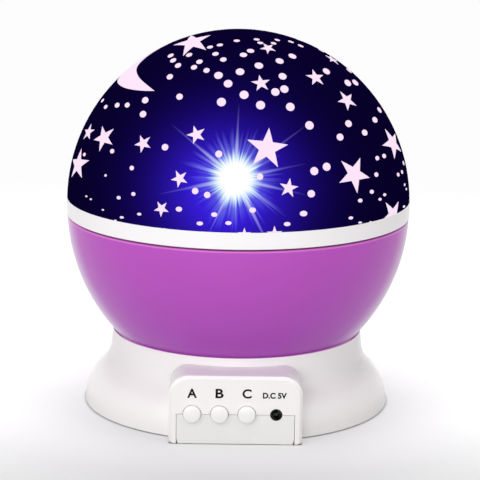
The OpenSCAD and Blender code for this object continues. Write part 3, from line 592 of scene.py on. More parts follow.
@dataclass(frozen=True)
class LitSkyPrint(Finish):
    """The dome's dark sky print, on which the lamp's light is painted as a burst in a wide blue
    glow.

    The burst is drawn on a plane that faces forwards and leans back, and once more on the far side.
    From its middle outwards it has a white heart, a pale halo, fibres and long rays.
    """

    roughness: float = 0.3
    ground_size: float = 8.0
    ground_loss: Pair = (0.8, 0.7)
    lean: float = PRINT_LEAN
    burst_right: float = -1.15
    burst_rise: float = 78.85
    glow_shift: Pair = (-2.75, -4.2)
    glow_reach: float = 18.0
    glow_gain: float = 1.5
    glow_fall: float = 1.67
    glow_tone: Rgb = display(55, 29, 216)
    heart_radius: float = 4.0
    heart_fade: float = 2.8
    halo_radius: float = 9.0
    halo_start: float = 0.6
    halo_tone: Rgb = display(205, 236, 255)
    strand_size: float = 0.075
    strand_edge: Pair = (0.36, 0.74)
    strand_push: float = 2.4
    wisp_size: float = 0.3
    haze_reach: float = 2.2
    fibre_reach: float = 8.8
    fibre_edge: Pair = (0.3, 1.25)
    fibre_share: float = 0.42
    fibre_gain: float = 0.4
    fibre_tone: Rgb = display(134, 140, 248)
    rays: tuple[Ray, ...] = GLARE_RAYS
    ray_width: float = 1.5
    ray_tip: float = 0.3
    ray_root: float = 2.0
    ray_gain: float = 1.25
    ray_fade: Pair = (6.0, 20.0)
    ray_near: Rgb = display(232, 238, 255)
    ray_far: Rgb = display(160, 148, 250)
    strength: float = 1.0

    def ray(self, graph: Graph, u: Wire, v: Wire, ray: Ray) -> Wire:
        """Gives one ray, bright along its line and thinning to its tip.

        Args:
            graph: The material's graph.
            u: Millimetres to the right of the burst.
            v: Millimetres above the burst.
            ray: The ray.

        Returns:
            Its brightness, 0 to 1.
        """
        cos, sin = math.cos(math.radians(ray.angle)), math.sin(math.radians(ray.angle))
        along = u * cos + v * sin
        across = abs(v * cos - u * sin)
        left = (1 - along / ray.length).clamped()
        beam = (1 - across / (left * left * self.ray_width + self.ray_tip)).clamped()
        return beam * left * graph.rise(along, 0.0, self.ray_root) * ray.strength

    def glow(self, graph: Graph, u: Wire, v: Wire) -> Wire:
        """Gives the wide glow, whose middle is off the burst's."""
        spread = graph.distance(u - self.glow_shift[0], v - self.glow_shift[1]) / self.glow_reach
        return (graph.math("EXPONENT", -(spread ** self.glow_fall)) * self.glow_gain).clamped()

    def sky(self, graph: Graph, u: Wire, v: Wire) -> Wire:
        """Lays the glow, fibres, rays, halo and heart over the dark print in turn.

        Args:
            graph: The material's graph.
            u: Millimetres to the right of the burst.
            v: Millimetres above the burst.

        Returns:
            The light's colour.
        """
        radius = graph.distance(u, v)
        turn = graph.vector("NORMALIZE", graph.joined(u, v, 0.0))
        strands = graph.rise(graph.noise(turn, self.strand_size), *self.strand_edge)
        wisps = graph.noise(turn, self.wisp_size, COARSE)
        reach = self.halo_radius + self.haze_reach + strands * wisps * self.fibre_reach
        fibres = 1 - graph.rise(radius / reach, *self.fibre_edge)
        rays, *others = (self.ray(graph, u, v, ray) for ray in self.rays)
        for ray in others:
            rays = graph.math("MAXIMUM", rays, ray)
        ray_tone = graph.blend(graph.rise(radius, *self.ray_fade), self.ray_near, self.ray_far)
        inner = radius - strands * self.strand_push
        past_halo = graph.rise(inner, self.heart_radius + self.halo_start, self.halo_radius)
        past_heart = graph.rise(inner, self.heart_radius, self.heart_radius + self.heart_fade)
        sky = self.colour
        for share, tone in (
                (self.glow(graph, u, v), self.glow_tone),
                (fibres * (self.fibre_share + strands * self.fibre_gain), self.fibre_tone),
                ((rays * self.ray_gain).clamped(), ray_tone),
                (1 - past_halo, self.halo_tone),
                (1 - past_heart, WHITE)):
            sky = graph.blend(share, sky, tone)
        return sky

    def inputs(self, graph: Graph) -> dict[str, Any]:
        """Gives a dark ground with the lit sky as its own light.

        Args:
            graph: The material's graph.

        Returns:
            The shader's inputs.
        """
        place = graph.place()
        x, y, z = graph.split(place)
        lean = math.radians(self.lean)
        above = z * math.cos(lean) - abs(y) * math.sin(lean) - self.burst_rise
        ground = (darker(self.colour, loss) for loss in self.ground_loss)
        return {
            "Base Color": graph.blend(graph.noise(place, self.ground_size), *ground),
            "Roughness": self.roughness,
            "Specular IOR Level": 0.0,
            "Emission Color": self.sky(graph, x - self.burst_right, above),
            "Emission Strength": self.strength,
        }


@dataclass(frozen=True)
class StarInk(Finish):
    """The pale places in the print, whose light from the lamp behind is painted on as their own
    glow.
    """

    roughness: float = 0.5
    ground: tuple[Rgb, Rgb] = ((0.03, 0.02, 0.03), (0.04, 0.03, 0.04))
    speckle_size: float = 0.6
    speckle_loss: float = 0.05
    glow: float = 0.96

    def inputs(self, graph: Graph) -> dict[str, Any]:
        """Gives an even, faintly mottled pale light over a dark ground.

        Args:
            graph: The material's graph.

        Returns:
            The shader's inputs.
        """
        speckle = graph.noise(graph.place(), self.speckle_size)
        return {
            "Base Color": graph.blend(speckle, *self.ground),
            "Roughness": self.roughness,
            "Specular IOR Level": 0.0,
            "Emission Color": graph.blend(
                speckle, darker(self.colour, self.speckle_loss), self.colour),
            "Emission Strength": self.glow,
        }


WHITE_GLOSS = MouldedPlastic(
    "white_gloss_plastic", display(239, 236, 235), roughness=0.22, specular=0.25)
# Its band is painted shade: the ring's lower edge is darker and tinted violet where it meets the
# bowl.
RING_WHITE = BandedPlastic(
    "white_ring_plastic", display(244, 241, 243), roughness=0.22, specular=0.25,
    bands=(ToneBand(70.24, 70.14, display(170, 94, 160)),))
PANEL_WHITE = MouldedPlastic(
    "white_panel_plastic", display(231, 230, 228), roughness=0.26, specular=0.25)
BUTTON_WHITE = MouldedPlastic(
    "white_button_plastic", display(238, 236, 235), roughness=0.22, specular=0.35)
ORCHID_GLOSS = BandedPlastic(
    "orchid_gloss_plastic", display(185, 80, 190), roughness=0.3, specular=0.28, cloud=0.05,
    bands=(
        # Painted shade: darker towards the bottom.
        ToneBand(69.0, 27.0, display(166, 74, 179)),
        # Painted highlight on a band just below the mouth.
        ToneBand(68.85, 69.0, display(222, 120, 216)),
        # Painted shade: a thin dark line at the mouth.
        ToneBand(69.42, 69.5, display(148, 74, 142)),
    ),
    # Painted glow low on the bowl, where it sits inside the base.
    painted_glow=ToneBand(27.25, 27.1, display(150, 84, 140)),
    # Painted sheen: paler where seen edge on.
    painted_sheen=0.62, painted_sheen_tone=display(238, 228, 248))
BLACK_PLASTIC = MouldedPlastic(
    "black_socket_plastic", display(12, 12, 13), roughness=0.14, cloud=0.3)
BLACK_INK = MouldedPlastic(
    "black_pad_print", display(10, 9, 11), roughness=0.5, specular=0.1, cloud=0.2,
    grain_depth=0.001)
ACETAL = MouldedPlastic("acetal_gear_plastic", display(238, 233, 218), roughness=0.38, cloud=0.04)
RED_VINYL = MouldedPlastic("red_wire_vinyl", display(190, 28, 34), roughness=0.42, cloud=0.12)
BLUE_VINYL = MouldedPlastic("blue_wire_vinyl", display(32, 52, 170), roughness=0.42, cloud=0.12)
FOOT_RUBBER = Rubber("foot_rubber", display(48, 48, 50))
STEEL = BrightSteel("zinc_plated_steel", display(206, 206, 210))
DARK_NICKEL = BrightSteel("dark_nickel_plating", display(58, 57, 62), roughness=0.2)
MOTOR_STEEL = BrightSteel(
    "rolled_motor_steel", display(190, 190, 194), roughness=0.34, along=(1.0, 1.0, 0.06))
BOARD = SolderMask("green_board_varnish", display(18, 92, 52))
SLEEVE = CellSleeve("battery_sleeve", display(28, 120, 84))
EPOXY = ClearEpoxy("clear_lamp_epoxy", display(240, 246, 255))
SKY_PRINT = LitSkyPrint("lit_sky_print", display(6, 1, 34))
FILM_PRINT = LitSkyPrint("film_sky_print", display(9, 3, 44), strength=0.5)
STAR_INK = StarInk("pale_star_ink", display(255, 232, 252))


def paint(finish: Finish, *names: str) -> None:
    """Puts a finish on CAD nodes, through their material slots.

    Args:
        finish: The finish.
        names: The nodes.
    """
    for name in names:
        shape = frame["nodes"][name]
        if not shape.material_slots:
            shape.data.materials.append(finish.material())
        for slot in shape.material_slots:
            slot.material = finish.material()
        log.info("%s: CAD node in %s", name, finish.name)


def body_of(node: str) -> str:
    """Gives the body that a CAD node rides on."""
    return frame["nodes"][node]["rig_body"]


def new_object(name: str, data: bpy.types.ID) -> bpy.types.Object:
    """Puts a mesh, text, lamp or camera in the scene.

    Args:
        name: The new object's name.
        data: The mesh, text, lamp or camera.

    Returns:
        The object.
    """
    made = bpy.data.objects.new(name, data)
    bpy.context.scene.collection.objects.link(made)
    return made


def add_piece(name: str, mesh: bpy.types.Mesh, finish: Finish, slot: str,
              body: str) -> bpy.types.Object:
    """Makes an object of a finished mesh, and lets it ride on a body.

    Args:
        name: The piece's name.
        mesh: Its mesh, in place.
        finish: Its finish.
        slot: The record's material slot; not used.
        body: The body that it rides on.

    Returns:
        The object.
    """
    mesh.name = name
    mesh.materials.clear()
    mesh.materials.append(finish.material())
    piece = new_object(name, mesh)
    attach(piece, body)
    log.info("%s: %d faces on body %s", name, len(mesh.polygons), body)
    return piece


def plain_mesh(shape: bpy.types.Object) -> bpy.types.Mesh:
    """Works an object's modifiers into its mesh, and removes the object.

    Args:
        shape: The object.

    Returns:
        The mesh.
    """
    graph = bpy.context.evaluated_depsgraph_get()
    mesh = bpy.data.meshes.new_from_object(shape.evaluated_get(graph), depsgraph=graph)
    bpy.data.objects.remove(shape)
    return mesh


@dataclass(frozen=True)
class Moulding:
    """A smooth-shaded skin in a CAD node's place: its doubles merged and its corners kept."""

    node: str
    finish: Finish
    slot: str
    crease: float = 30.0
    inset: float = 0.0
    centre: Triple = (0.0, 0.0, 0.0)
    weld: float = 0.0005

    def mesh(self) -> bpy.types.Mesh:
        """Merges a copy of the node's mesh and evens its shading.

        Returns:
            The mesh.
        """
        mesh = frame["nodes"][self.node].data.copy()
        loose = bmesh.new()
        loose.from_mesh(mesh)
        bmesh.ops.remove_doubles(loose, verts=loose.verts, dist=self.weld * MM)
        if self.inset:
            self.draw_in(loose)
        loose.to_mesh(mesh)
        loose.free()
        for name in ("custom_normal", "sharp_edge", "sharp_face"):
            if name in mesh.attributes:
                mesh.attributes.remove(mesh.attributes[name])
        mesh.shade_smooth()
        mesh.set_sharp_from_angle(angle=math.radians(self.crease))
        shape = new_object(f"{self.node}_merged", mesh)
        shape.modifiers.new("even_shading", "WEIGHTED_NORMAL").keep_sharp = True
        return plain_mesh(shape)

    def draw_in(self, loose: bmesh.types.BMesh) -> None:
        """Draws every point towards the centre by the inset.

        Args:
            loose: The mesh being worked on.
        """
        centre = Vector(self.centre) * MM
        for point in loose.verts:
            away = point.co - centre
            point.co = centre + away * (1 - self.inset * MM / away.length)

    def build(self) -> None:
        """Makes the skin and replaces the node with it."""
        body = body_of(self.node)
        skin = add_piece(f"{self.node}_skin", self.mesh(), self.finish, self.slot, body)
        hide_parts(self.node)


class MarkKind(Enum):
    """What is printed at a place on the dome."""

    MOON = 0
    STAR = 1
    DOT = 2


@dataclass(frozen=True)
class Drape:
    """How a flat print stretches as it is drawn over the ball.

    It stretches away from its middle, and more with the distance from it. Dots stretch less the
    nearer they are to the top of the ball: in full up to the shoulder, and not at all at the crown.
    They flatten towards the ring, where they keep a share of their height, and regain more of it
    with each degree above.
    """

    lean: float = PRINT_LEAN
    power: float = 0.6
    dot_power: float = 0.8
    least_facing: float = 0.01
    most: float = 1.9
    shoulder: float = 45.0
    crown: float = 70.0
    low_share: float = 0.45
    share_regained: float = 0.04

    def flattened(self, height: float) -> float:
        """Gives the share of its height that a dot keeps."""
        return min(self.low_share + self.share_regained * height, 1.0)

    def for_dot(self, height: float) -> "Drape":
        """Gives the rule for a dot, which depends on how high on the ball it is."""
        share = min(max((self.crown - height) / (self.crown - self.shoulder), 0.0), 1.0)
        return replace(self, power=self.dot_power * share)

    def stretched(self, outward: Vector, step: Vector) -> Vector:
        """Stretches a step over the ball.

        Args:
            outward: The way from the ball's centre to the step's start.
            step: The step.

        Returns:
            The stretched step.
        """
        lean = math.radians(self.lean)
        middle = Vector((0.0, -math.cos(lean), math.sin(lean)))
        facing = outward.dot(middle)
        away = (outward * facing - middle).normalized()
        factor = min(max(abs(facing), self.least_facing) ** -self.power, self.most)
        return step + away * (step.dot(away) * (factor - 1))


@dataclass(frozen=True)
class Mark:
    """One star or dot of the print.

    A star's turn runs clockwise from its upright, and its size is from its middle to a tip.
    """

    bearing: float
    height: float
    size: float
    turn: float = 0.0
    kind: MarkKind = MarkKind.STAR

    def direction(self) -> Vector:
        """Gives the way from the ball's centre to the mark.

        Returns:
            The way, of length 1.
        """
        bearing, height = math.radians(self.bearing), math.radians(self.height)
        level = math.cos(height)
        return Vector((math.sin(bearing) * level, -math.cos(bearing) * level, math.sin(height)))

    def axes(self, drape: Drape) -> tuple[Vector, Vector]:
        """Gives the steps over the ball that the stamp's own two axes become.

        A star's first axis runs to its first tip.

        Args:
            drape: How the print stretches.

        Returns:
            Both steps, in metres.
        """
        outward = self.direction()
        bearing, turn = math.radians(self.bearing), math.radians(self.turn)
        east = Vector((math.cos(bearing), math.sin(bearing), 0.0))
        north = outward.cross(east)
        if self.kind is MarkKind.STAR:
            along = east * math.sin(turn) + north * math.cos(turn)
            across = outward.cross(along)
        else:
            along, across = east, north * drape.flattened(self.height)
            drape = drape.for_dot(self.height)
        size = self.size * MM
        return drape.stretched(outward, along * size), drape.stretched(outward, across * size)


@dataclass(frozen=True)
class DotString:
    """A short string of dots from one place on the dome to another, or a lone dot."""

    start: Pair
    end: Pair
    size: float
    count: int = 2

    def marks(self) -> Iterator[Mark]:
        """Gives the string's dots in order.

        Returns:
            The dots, one by one.
        """
        for number in range(self.count):
            share = number / max(self.count - 1, 1)
            place = (low + (high - low) * share for low, high in zip(self.start, self.end))
            yield Mark(*place, self.size, kind=MarkKind.DOT)


# Each star's bearing, height, size and turn.
FRONT_STARS = tuple(Mark(*row) for row in (
    (10, 28, 7.4, 9), (42, 17.5, 6.6, 36), (-60, 71.5, 7.2, 10), (-16, 32, 3.4, 47),
    (-36.5, 27.3, 3.3, 35), (-58, 26.4, 4.9, 32), (-73, 26, 3.2, 56), (-71.7, 15, 5.8, 61),
    (-19.7, 17.5, 3.1, 41), (-25, 7.6, 2.8, 36), (16.4, 15.2, 3.4, 12), (10.8, 51.8, 3.4, 69),
    (44.2, 52.7, 3.6, 15), (54, 42, 4, 65), (27, 70, 2.9, 61), (84, 57.8, 3, 59),
    (73.3, 23.5, 5.9, 63), (60.9, 1.5, 5.7, 41), (11.5, 1, 2.8, 71), (2, 1, 2.3, 0),
))
# Each string's first and last dot as bearing and height, their size, and their number if not two.
FRONT_DOTS = tuple(DotString(*row) for row in (
    ((24, 77), (24, 74), 1.05), ((40, 73), (54, 75), 1), ((69, 72), (70, 68.5), 1.1),
    ((-5, 76), (-5, 76), 1.1, 1), ((-30, 70), (-22, 72), 1.1), ((9, 68.5), (2.5, 66), 1.3),
    ((-20, 66), (-12, 63), 1.15), ((-41, 64), (-28, 61), 1.15), ((-57, 62), (-41, 58), 1.15, 3),
    ((-29, 58), (-20, 57), 1.1), ((-12, 55), (-6, 51.5), 1.5), ((42, 64), (28, 62), 1.45),
    ((12, 60), (0, 57), 1.5), ((-40, 52.5), (-28, 45), 1.15), ((57, 54.5), (57, 54.5), 1.4, 1),
    ((66, 48), (75, 47), 1.35), ((88, 51), (95, 62), 1.25), ((24, 54.5), (24, 54.5), 1.4, 1),
    ((22, 49), (17, 48), 1.45), ((2, 47), (9, 43), 1.55), ((-8, 44), (-8, 44), 1.55, 1),
    ((22, 42), (28, 35), 1.5), ((-45, 42), (-42, 37), 1.2), ((-54, 39), (-61, 38), 0.95),
    ((-70, 36), (-80, 37), 0.8), ((40, 30), (47, 34), 1.25), ((54, 30), (66, 33), 1.1),
    ((78, 35), (78, 35), 1.15, 1), ((-27, 27), (-27, 27), 1.15, 1), ((-7, 26), (-7, 26), 1.2, 1),
    ((-50, 23), (-38.5, 19), 0.8), ((-68, 19), (-68, 19), 0.65, 1), ((26, 20), (31, 21), 1.4),
    ((56, 21), (61, 21), 0.8), ((7, 19), (7, 19), 1.1, 1), ((53, 16), (49, 11), 0.8),
    ((-14, 14), (-10, 13), 1.1), ((24, 13), (21, 7), 1.3), ((-50, 15), (-49, 4), 0.45),
    ((-36, 11), (-42, 9), 0.75), ((43, 9), (38.5, 4), 0.85), ((53, 8), (56, 9), 0.65),
    ((4.5, 8.6), (15.5, 4), 1.15), ((-19, 8), (-12, 4), 1.1), ((-7.5, 7), (-3, 4.5), 1.05),
    ((-33, 5), (-40, 3), 0.75), ((42.5, 2), (42.5, 2), 0.7, 1), ((47.5, 1.5), (47.5, 1.5), 0.5, 1),
    ((68.7, 13.5), (73.7, 13.5), 0.7), ((79.5, 15.5), (79.5, 15.5), 0.8, 1),
    ((74.4, 9.1), (76.2, 7.3), 0.6), ((71.4, 2.4), (71.4, 2.4), 0.8, 1),
    ((-59.4, 6.6), (-56.3, 6.2), 0.45), ((-42.8, 1.6), (-42.8, 1.6), 0.5, 1),
    ((-23.8, 1.1), (-23.8, 1.1), 1, 1),
))


@dataclass(frozen=True)
class Crescent:
    """The moon: two edges that meet in two horns, each a smooth curve through a few places."""

    outer: tuple[Pair, ...]
    inner: tuple[Pair, ...]
    steps: int = 10
    rows: int = 12

    def through(self, places: tuple[Pair, ...]) -> list[Pair]:
        """Runs a smooth curve through places on the dome.

        Args:
            places: Bearing and height of each place.

        Returns:
            The curve's points, the same number between any two places.
        """
        ends = (places[0], *places, places[-1])
        curve = []
        for before, start, end, after in zip(ends, ends[1:], ends[2:], ends[3:]):
            for step in range(self.steps):
                t = step / self.steps
                curve.append(tuple(
                    0.5 * (2 * b + (c - a) * t + (2 * a - 5 * b + 4 * c - d) * t ** 2
                           + (3 * b - a - 3 * c + d) * t ** 3)
                    for a, b, c, d in zip(before, start, end, after)))
        return [*curve, places[-1]]

    def grid(self) -> list[list[Pair]]:
        """Fills the moon with rows of places.

        Returns:
            The rows, from the outer edge to the inner one.
        """
        pairs = list(zip(self.through(self.outer), self.through(self.inner)))
        shares = [row / self.rows for row in range(self.rows + 1)]
        return [[tuple(o + (i - o) * share for o, i in zip(*pair)) for pair in pairs]
                for share in shares]


@dataclass(frozen=True)
class SkyStamp:
    """Geometry Nodes that lay stars, dots and the moon on a ball as thin closed patches.

    Each point carries the way out of the ball and the two steps that its stamp's axes become.
    """

    tips: int = 5
    waist: float = 0.39
    dot_sides: int = 18
    star_splits: int = 2
    kind_margin: float = 0.1
    seam: float = 0.002

    def tree(self) -> bpy.types.NodeTree:
        """Builds the tree, with its sizes as named inputs.

        Returns:
            The tree.
        """
        tree = bpy.data.node_groups.new("sky_stamp", "GeometryNodeTree")
        tree.interface.new_socket("Geometry", in_out="OUTPUT", socket_type="NodeSocketGeometry")
        for kind, names in (
                ("Geometry", ("Marks",)),
                ("Float", ("Radius", "Centre Height", "Thickness", "Waist")),
                ("Int", ("Tips", "Dot Sides")),
                ("Material", ("Ink",))):
            for name in names:
                tree.interface.new_socket(name, in_out="INPUT", socket_type=f"NodeSocket{kind}")
        graph = Graph(tree)
        given = graph.node("NodeGroupInput").outputs
        size = {socket.name: Wire(graph, socket) for socket in given if socket.name}
        flat = graph.wire("GeometryNodeRealizeInstances", {0: self.patches(graph, size)})
        closed = self.thickened(graph, flat, size)
        inked = graph.wire("GeometryNodeSetMaterial", {"Geometry": closed, "Material": size["Ink"]})
        graph.node("NodeGroupOutput", {"Geometry": inked})
        return tree

    def patches(self, graph: Graph, size: dict[str, Wire]) -> Wire:
        """Puts a flat star or dot at each mark, beside the moon's faces.

        Args:
            graph: The tree's graph.
            size: The tree's inputs by name.

        Returns:
            The moon and the stamps, not yet draped over the ball.
        """
        kind = self.carried(graph, "kind", "FLOAT")
        star = graph.wire("GeometryNodeCurveStar", {
            "Points": size["Tips"], "Inner Radius": size["Waist"], "Outer Radius": 1.0})
        star = graph.wire("GeometryNodeFillCurve", {0: star}, mode="TRIANGLES")
        star = graph.wire("GeometryNodeSubdivideMesh", {"Mesh": star, "Level": self.star_splits})
        dot = graph.wire("GeometryNodeMeshCircle", {
            "Vertices": size["Dot Sides"], "Radius": 1.0}, fill_type="TRIANGLE_FAN")
        stamps = graph.math("GREATER_THAN", kind, MarkKind.MOON.value + self.kind_margin)
        parts = [graph.wire("GeometryNodeDeleteGeometry", {
            "Geometry": size["Marks"], "Selection": stamps}, domain="POINT")]
        for stamp, mark_kind in ((star, MarkKind.STAR), (dot, MarkKind.DOT)):
            own_place = graph.wire("GeometryNodeInputPosition")
            drawn = graph.wire("GeometryNodeStoreNamedAttribute", {
                "Geometry": stamp, "Name": "drawn", "Value": own_place,
            }, data_type="FLOAT_VECTOR", domain="POINT")
            chosen = graph.math("COMPARE", kind, float(mark_kind.value), self.kind_margin)
            parts.append(graph.wire("GeometryNodeInstanceOnPoints", {
                "Points": size["Marks"], "Selection": chosen, "Instance": drawn}))
        return self.gathered(graph, parts)

    def gathered(self, graph: Graph, parts: Iterable[Wire]) -> Wire:
        """Joins pieces of geometry.

        Args:
            graph: The tree's graph.
            parts: The pieces, in order.

        Returns:
            All of them.
        """
        node = graph.node("GeometryNodeJoinGeometry")
        for part in parts:
            graph.tree.links.new(part.socket, node.inputs[0])
        return Wire(graph, node.outputs[0])

    def carried(self, graph: Graph, name: str, kind: str = "FLOAT_VECTOR") -> Wire:
        """Gives a vector or number that the points carry."""
        return graph.wire("GeometryNodeInputNamedAttribute", {"Name": name}, data_type=kind)

    def draped(self, graph: Graph, size: dict[str, Wire]) -> Wire:
        """Gives each point's place on the ball, from what it carries.

        Args:
            graph: The tree's graph.
            size: The tree's inputs by name.

        Returns:
            The place.
        """
        right, up, _ = graph.split(self.carried(graph, "drawn"))
        place = graph.vector("SCALE", self.carried(graph, "outward"), size["Radius"])
        for way, share in (("along", right), ("across", up)):
            step = graph.vector("SCALE", self.carried(graph, way), share)
            place = graph.vector("ADD", place, step)
        ball = graph.vector("SCALE", graph.vector("NORMALIZE", place), size["Radius"])
        return graph.vector("ADD", graph.joined(0.0, 0.0, size["Centre Height"]), ball)

    def thickened(self, graph: Graph, flat: Wire, size: dict[str, Wire]) -> Wire:
        """Lays the flat patches on the ball and closes them into thin solids.

        Args:
            graph: The tree's graph.
            flat: The patches.
            size: The tree's inputs by name.

        Returns:
            The closed patches.
        """
        base = graph.wire("GeometryNodeSetPosition", {
            "Geometry": flat, "Position": self.draped(graph, size)})
        top = graph.wire("GeometryNodeExtrudeMesh", {
            "Mesh": base, "Offset Scale": size["Thickness"], "Individual": False}, mode="FACES")
        under = graph.wire("GeometryNodeFlipFaces", {0: base})
        both = self.gathered(graph, (top, under))
        return graph.wire("GeometryNodeMergeByDistance", {0: both, "Distance": self.seam * MM})

    def stamp(self, shape: bpy.types.Object, sizes: dict[str, Any]) -> bpy.types.Mesh:
        """Runs the tree on an object whose points are the marks.

        Args:
            shape: The object.
            sizes: The tree's inputs by name.

        Returns:
            The patches as a plain mesh.
        """
        tree = self.tree()
        modifier = shape.modifiers.new("sky_stamp", "NODES")
        modifier.node_group = tree
        sizes = {"Tips": self.tips, "Waist": self.waist, "Dot Sides": self.dot_sides, **sizes}
        for socket in tree.interface.items_tree:
            if socket.in_out == "INPUT" and socket.name in sizes:
                modifier[socket.identifier] = sizes[socket.name]
        return plain_mesh(shape)


@dataclass(frozen=True)
class FarSky:
    """The scatter of stars and dots over the rest of the dome, the same in each run.

    The heights are given by their sines, so that the marks lie evenly over the ball.
    """

    seed: int = 11
    stars: int = 14
    dots: int = 70
    star_sizes: Pair = (3.4, 7.4)
    dot_sizes: Pair = (0.9, 1.4)
    bearings: Pair = (100, 250)
    sines: Pair = (0.07, 0.97)
    turns: Pair = (0, 72)
    tries: int = 60
    gap: float = 1.6
    moon_guard: tuple[Mark, ...] = (Mark(-86, 50, 13.0), Mark(-100, 58, 12.0))

    def scatter(self, taken: Iterable[Mark], radius: float) -> list[Mark]:
        """Draws the marks one by one, each clear of the ones before it.

        Args:
            taken: The marks that are on the dome already.
            radius: The ball's radius.

        Returns:
            All the marks, the ones already there first.
        """
        chance = random.Random(self.seed)
        marks = list(taken)
        for number in range(self.stars + self.dots):
            star = number < self.stars
            kind, sizes = (
                (MarkKind.STAR, self.star_sizes) if star else (MarkKind.DOT, self.dot_sizes))
            for _ in range(self.tries):
                size = chance.uniform(*sizes)
                height = math.degrees(math.asin(chance.uniform(*self.sines)))
                bearing = chance.uniform(*self.bearings)
                mark = Mark(bearing, height, size, chance.uniform(*self.turns), kind)
                if self.is_clear(mark, marks, radius):
                    marks.append(mark)
                    break
        return marks

    def is_clear(self, mark: Mark, others: Iterable[Mark], radius: float) -> bool:
        """Tells if a mark stays off the others and the moon.

        Args:
            mark: The mark.
            others: The marks that it has to stay off.
            radius: The ball's radius.

        Returns:
            True if it does.
        """
        here = mark.direction() * radius
        return all(
            (here - other.direction() * radius).length > mark.size + other.size + self.gap
            for other in (*others, *self.moon_guard))


@dataclass(frozen=True)
class PrintedDome:
    """The clear half ball with its sky print, the film inside it and the white ring under it."""

    ball_height: float = 74.5
    ball_radius: float = 62.5
    skin_inset: float = 0.12
    ink_base: float = 62.36
    ring_top: float = 76.13
    ink_thickness: float = 0.09
    cut_tolerance: float = 0.0001
    sliver: float = 0.001
    drape: Drape = Drape()
    far_sky: FarSky = FarSky()
    stars: tuple[Mark, ...] = FRONT_STARS
    strings: tuple[DotString, ...] = FRONT_DOTS
    moon: Crescent = Crescent(
        outer=((-43, 46), (-54, 45), (-70, 44.5), (-88, 45.5), (-104, 51), (-108, 60), (-100, 66)),
        inner=((-43, 46), (-52, 48), (-66, 50.5), (-78, 53), (-86, 56.5), (-93, 61), (-100, 66)),
    )

    def marks_mesh(self) -> bpy.types.Mesh:
        """Makes a mesh whose points carry the marks and whose faces are the moon.

        Returns:
            The mesh.
        """
        dots = [dot for string in self.strings for dot in string.marks()]
        marks = self.far_sky.scatter([*self.stars, *dots], self.ball_radius)
        rows = self.moon.grid()
        width = len(rows[0])
        firsts = [row * width + col for row in range(len(rows) - 1) for col in range(width - 1)]
        faces = [(first, first + width, first + width + 1, first + 1) for first in firsts]
        moon = [Mark(*place, 0.0, kind=MarkKind.MOON) for row in rows for place in row]
        places = [*moon, *marks]
        mesh = bpy.data.meshes.new("sky_marks")
        points = [mark.direction() * (self.ball_radius * MM) for mark in places]
        mesh.from_pydata(points, [], faces)
        axes = [mark.axes(self.drape) for mark in places]
        columns = {
            "outward": [mark.direction() for mark in places],
            "along": [along for along, _ in axes],
            "across": [across for _, across in axes],
        }
        for name, vectors in columns.items():
            numbers = [number for vector in vectors for number in vector]
            mesh.attributes.new(name, "FLOAT_VECTOR", "POINT").data.foreach_set("vector", numbers)
        kinds = [float(mark.kind.value) for mark in places]
        mesh.attributes.new("kind", "FLOAT", "POINT").data.foreach_set("value", kinds)
        return mesh

    def build_print(self) -> None:
        """Stamps the sky on the dome as one piece, and cuts it off level at the ring's top."""
        shape = new_object("sky_marks", self.marks_mesh())
        mesh = SkyStamp().stamp(shape, {
            "Radius": self.ink_base * MM,
            "Centre Height": self.ball_height * MM,
            "Thickness": self.ink_thickness * MM,
            "Ink": STAR_INK.material(),
        })
        loose = bmesh.new()
        loose.from_mesh(mesh)
        cut = bmesh.ops.bisect_plane(
            loose, geom=[*loose.verts, *loose.edges, *loose.faces], dist=self.cut_tolerance * MM,
            plane_co=(0.0, 0.0, self.ring_top * MM), plane_no=(0.0, 0.0, 1.0),
            clear_inner=True)["geom_cut"]
        rim = [part for part in cut if isinstance(part, bmesh.types.BMEdge)]
        bmesh.ops.holes_fill(loose, edges=rim, sides=0)
        bmesh.ops.dissolve_degenerate(loose, dist=self.sliver * MM, edges=loose.edges)
        bmesh.ops.recalc_face_normals(loose, faces=loose.faces)
        loose.to_mesh(mesh)
        loose.free()
        add_piece("star_print", mesh, STAR_INK, "star_film", body_of("dome_shell"))

    def build(self) -> None:
        """Makes the dome's skin, its print and its ring."""
        centre = (0.0, 0.0, self.ball_height)
        Moulding("dome_shell", SKY_PRINT, "star_dome", inset=self.skin_inset, centre=centre).build()
        self.build_print()
        Moulding("dome_ring", RING_WHITE, "white_shell").build()
        paint(FILM_PRINT, "star_film")


@dataclass(frozen=True)
class GlobeBottom:
    """The orchid bowl with its deck, gear and screws."""

    def build(self) -> None:
        """Makes the bowl's skin and finishes what turns with it."""
        Moulding("bowl", ORCHID_GLOSS, "purple_bowl").build()
        paint(WHITE_GLOSS, "globe_deck")
        paint(ACETAL, "hub_gear")
        paint(STEEL, "hub_screws", "deck_screws")


@dataclass(frozen=True)
class Housing:
    """The flared white base, its bottom cover, feet and screws."""

    def build(self) -> None:
        """Makes the skins of the two mouldings and finishes the feet and screws."""
        Moulding("base_shell", WHITE_GLOSS, "white_shell").build()
        Moulding("bottom_cover", PANEL_WHITE, "white_shell").build()
        paint(FOOT_RUBBER, "rubber_feet")
        paint(STEEL, "base_screws")


@dataclass(frozen=True)
class PanelMark:
    """Plain words on the panel: what they say, where their middle is, their size and boldness."""

    name: str
    words: str
    middle: float
    centre: float
    height: float
    width: float
    boldness: float


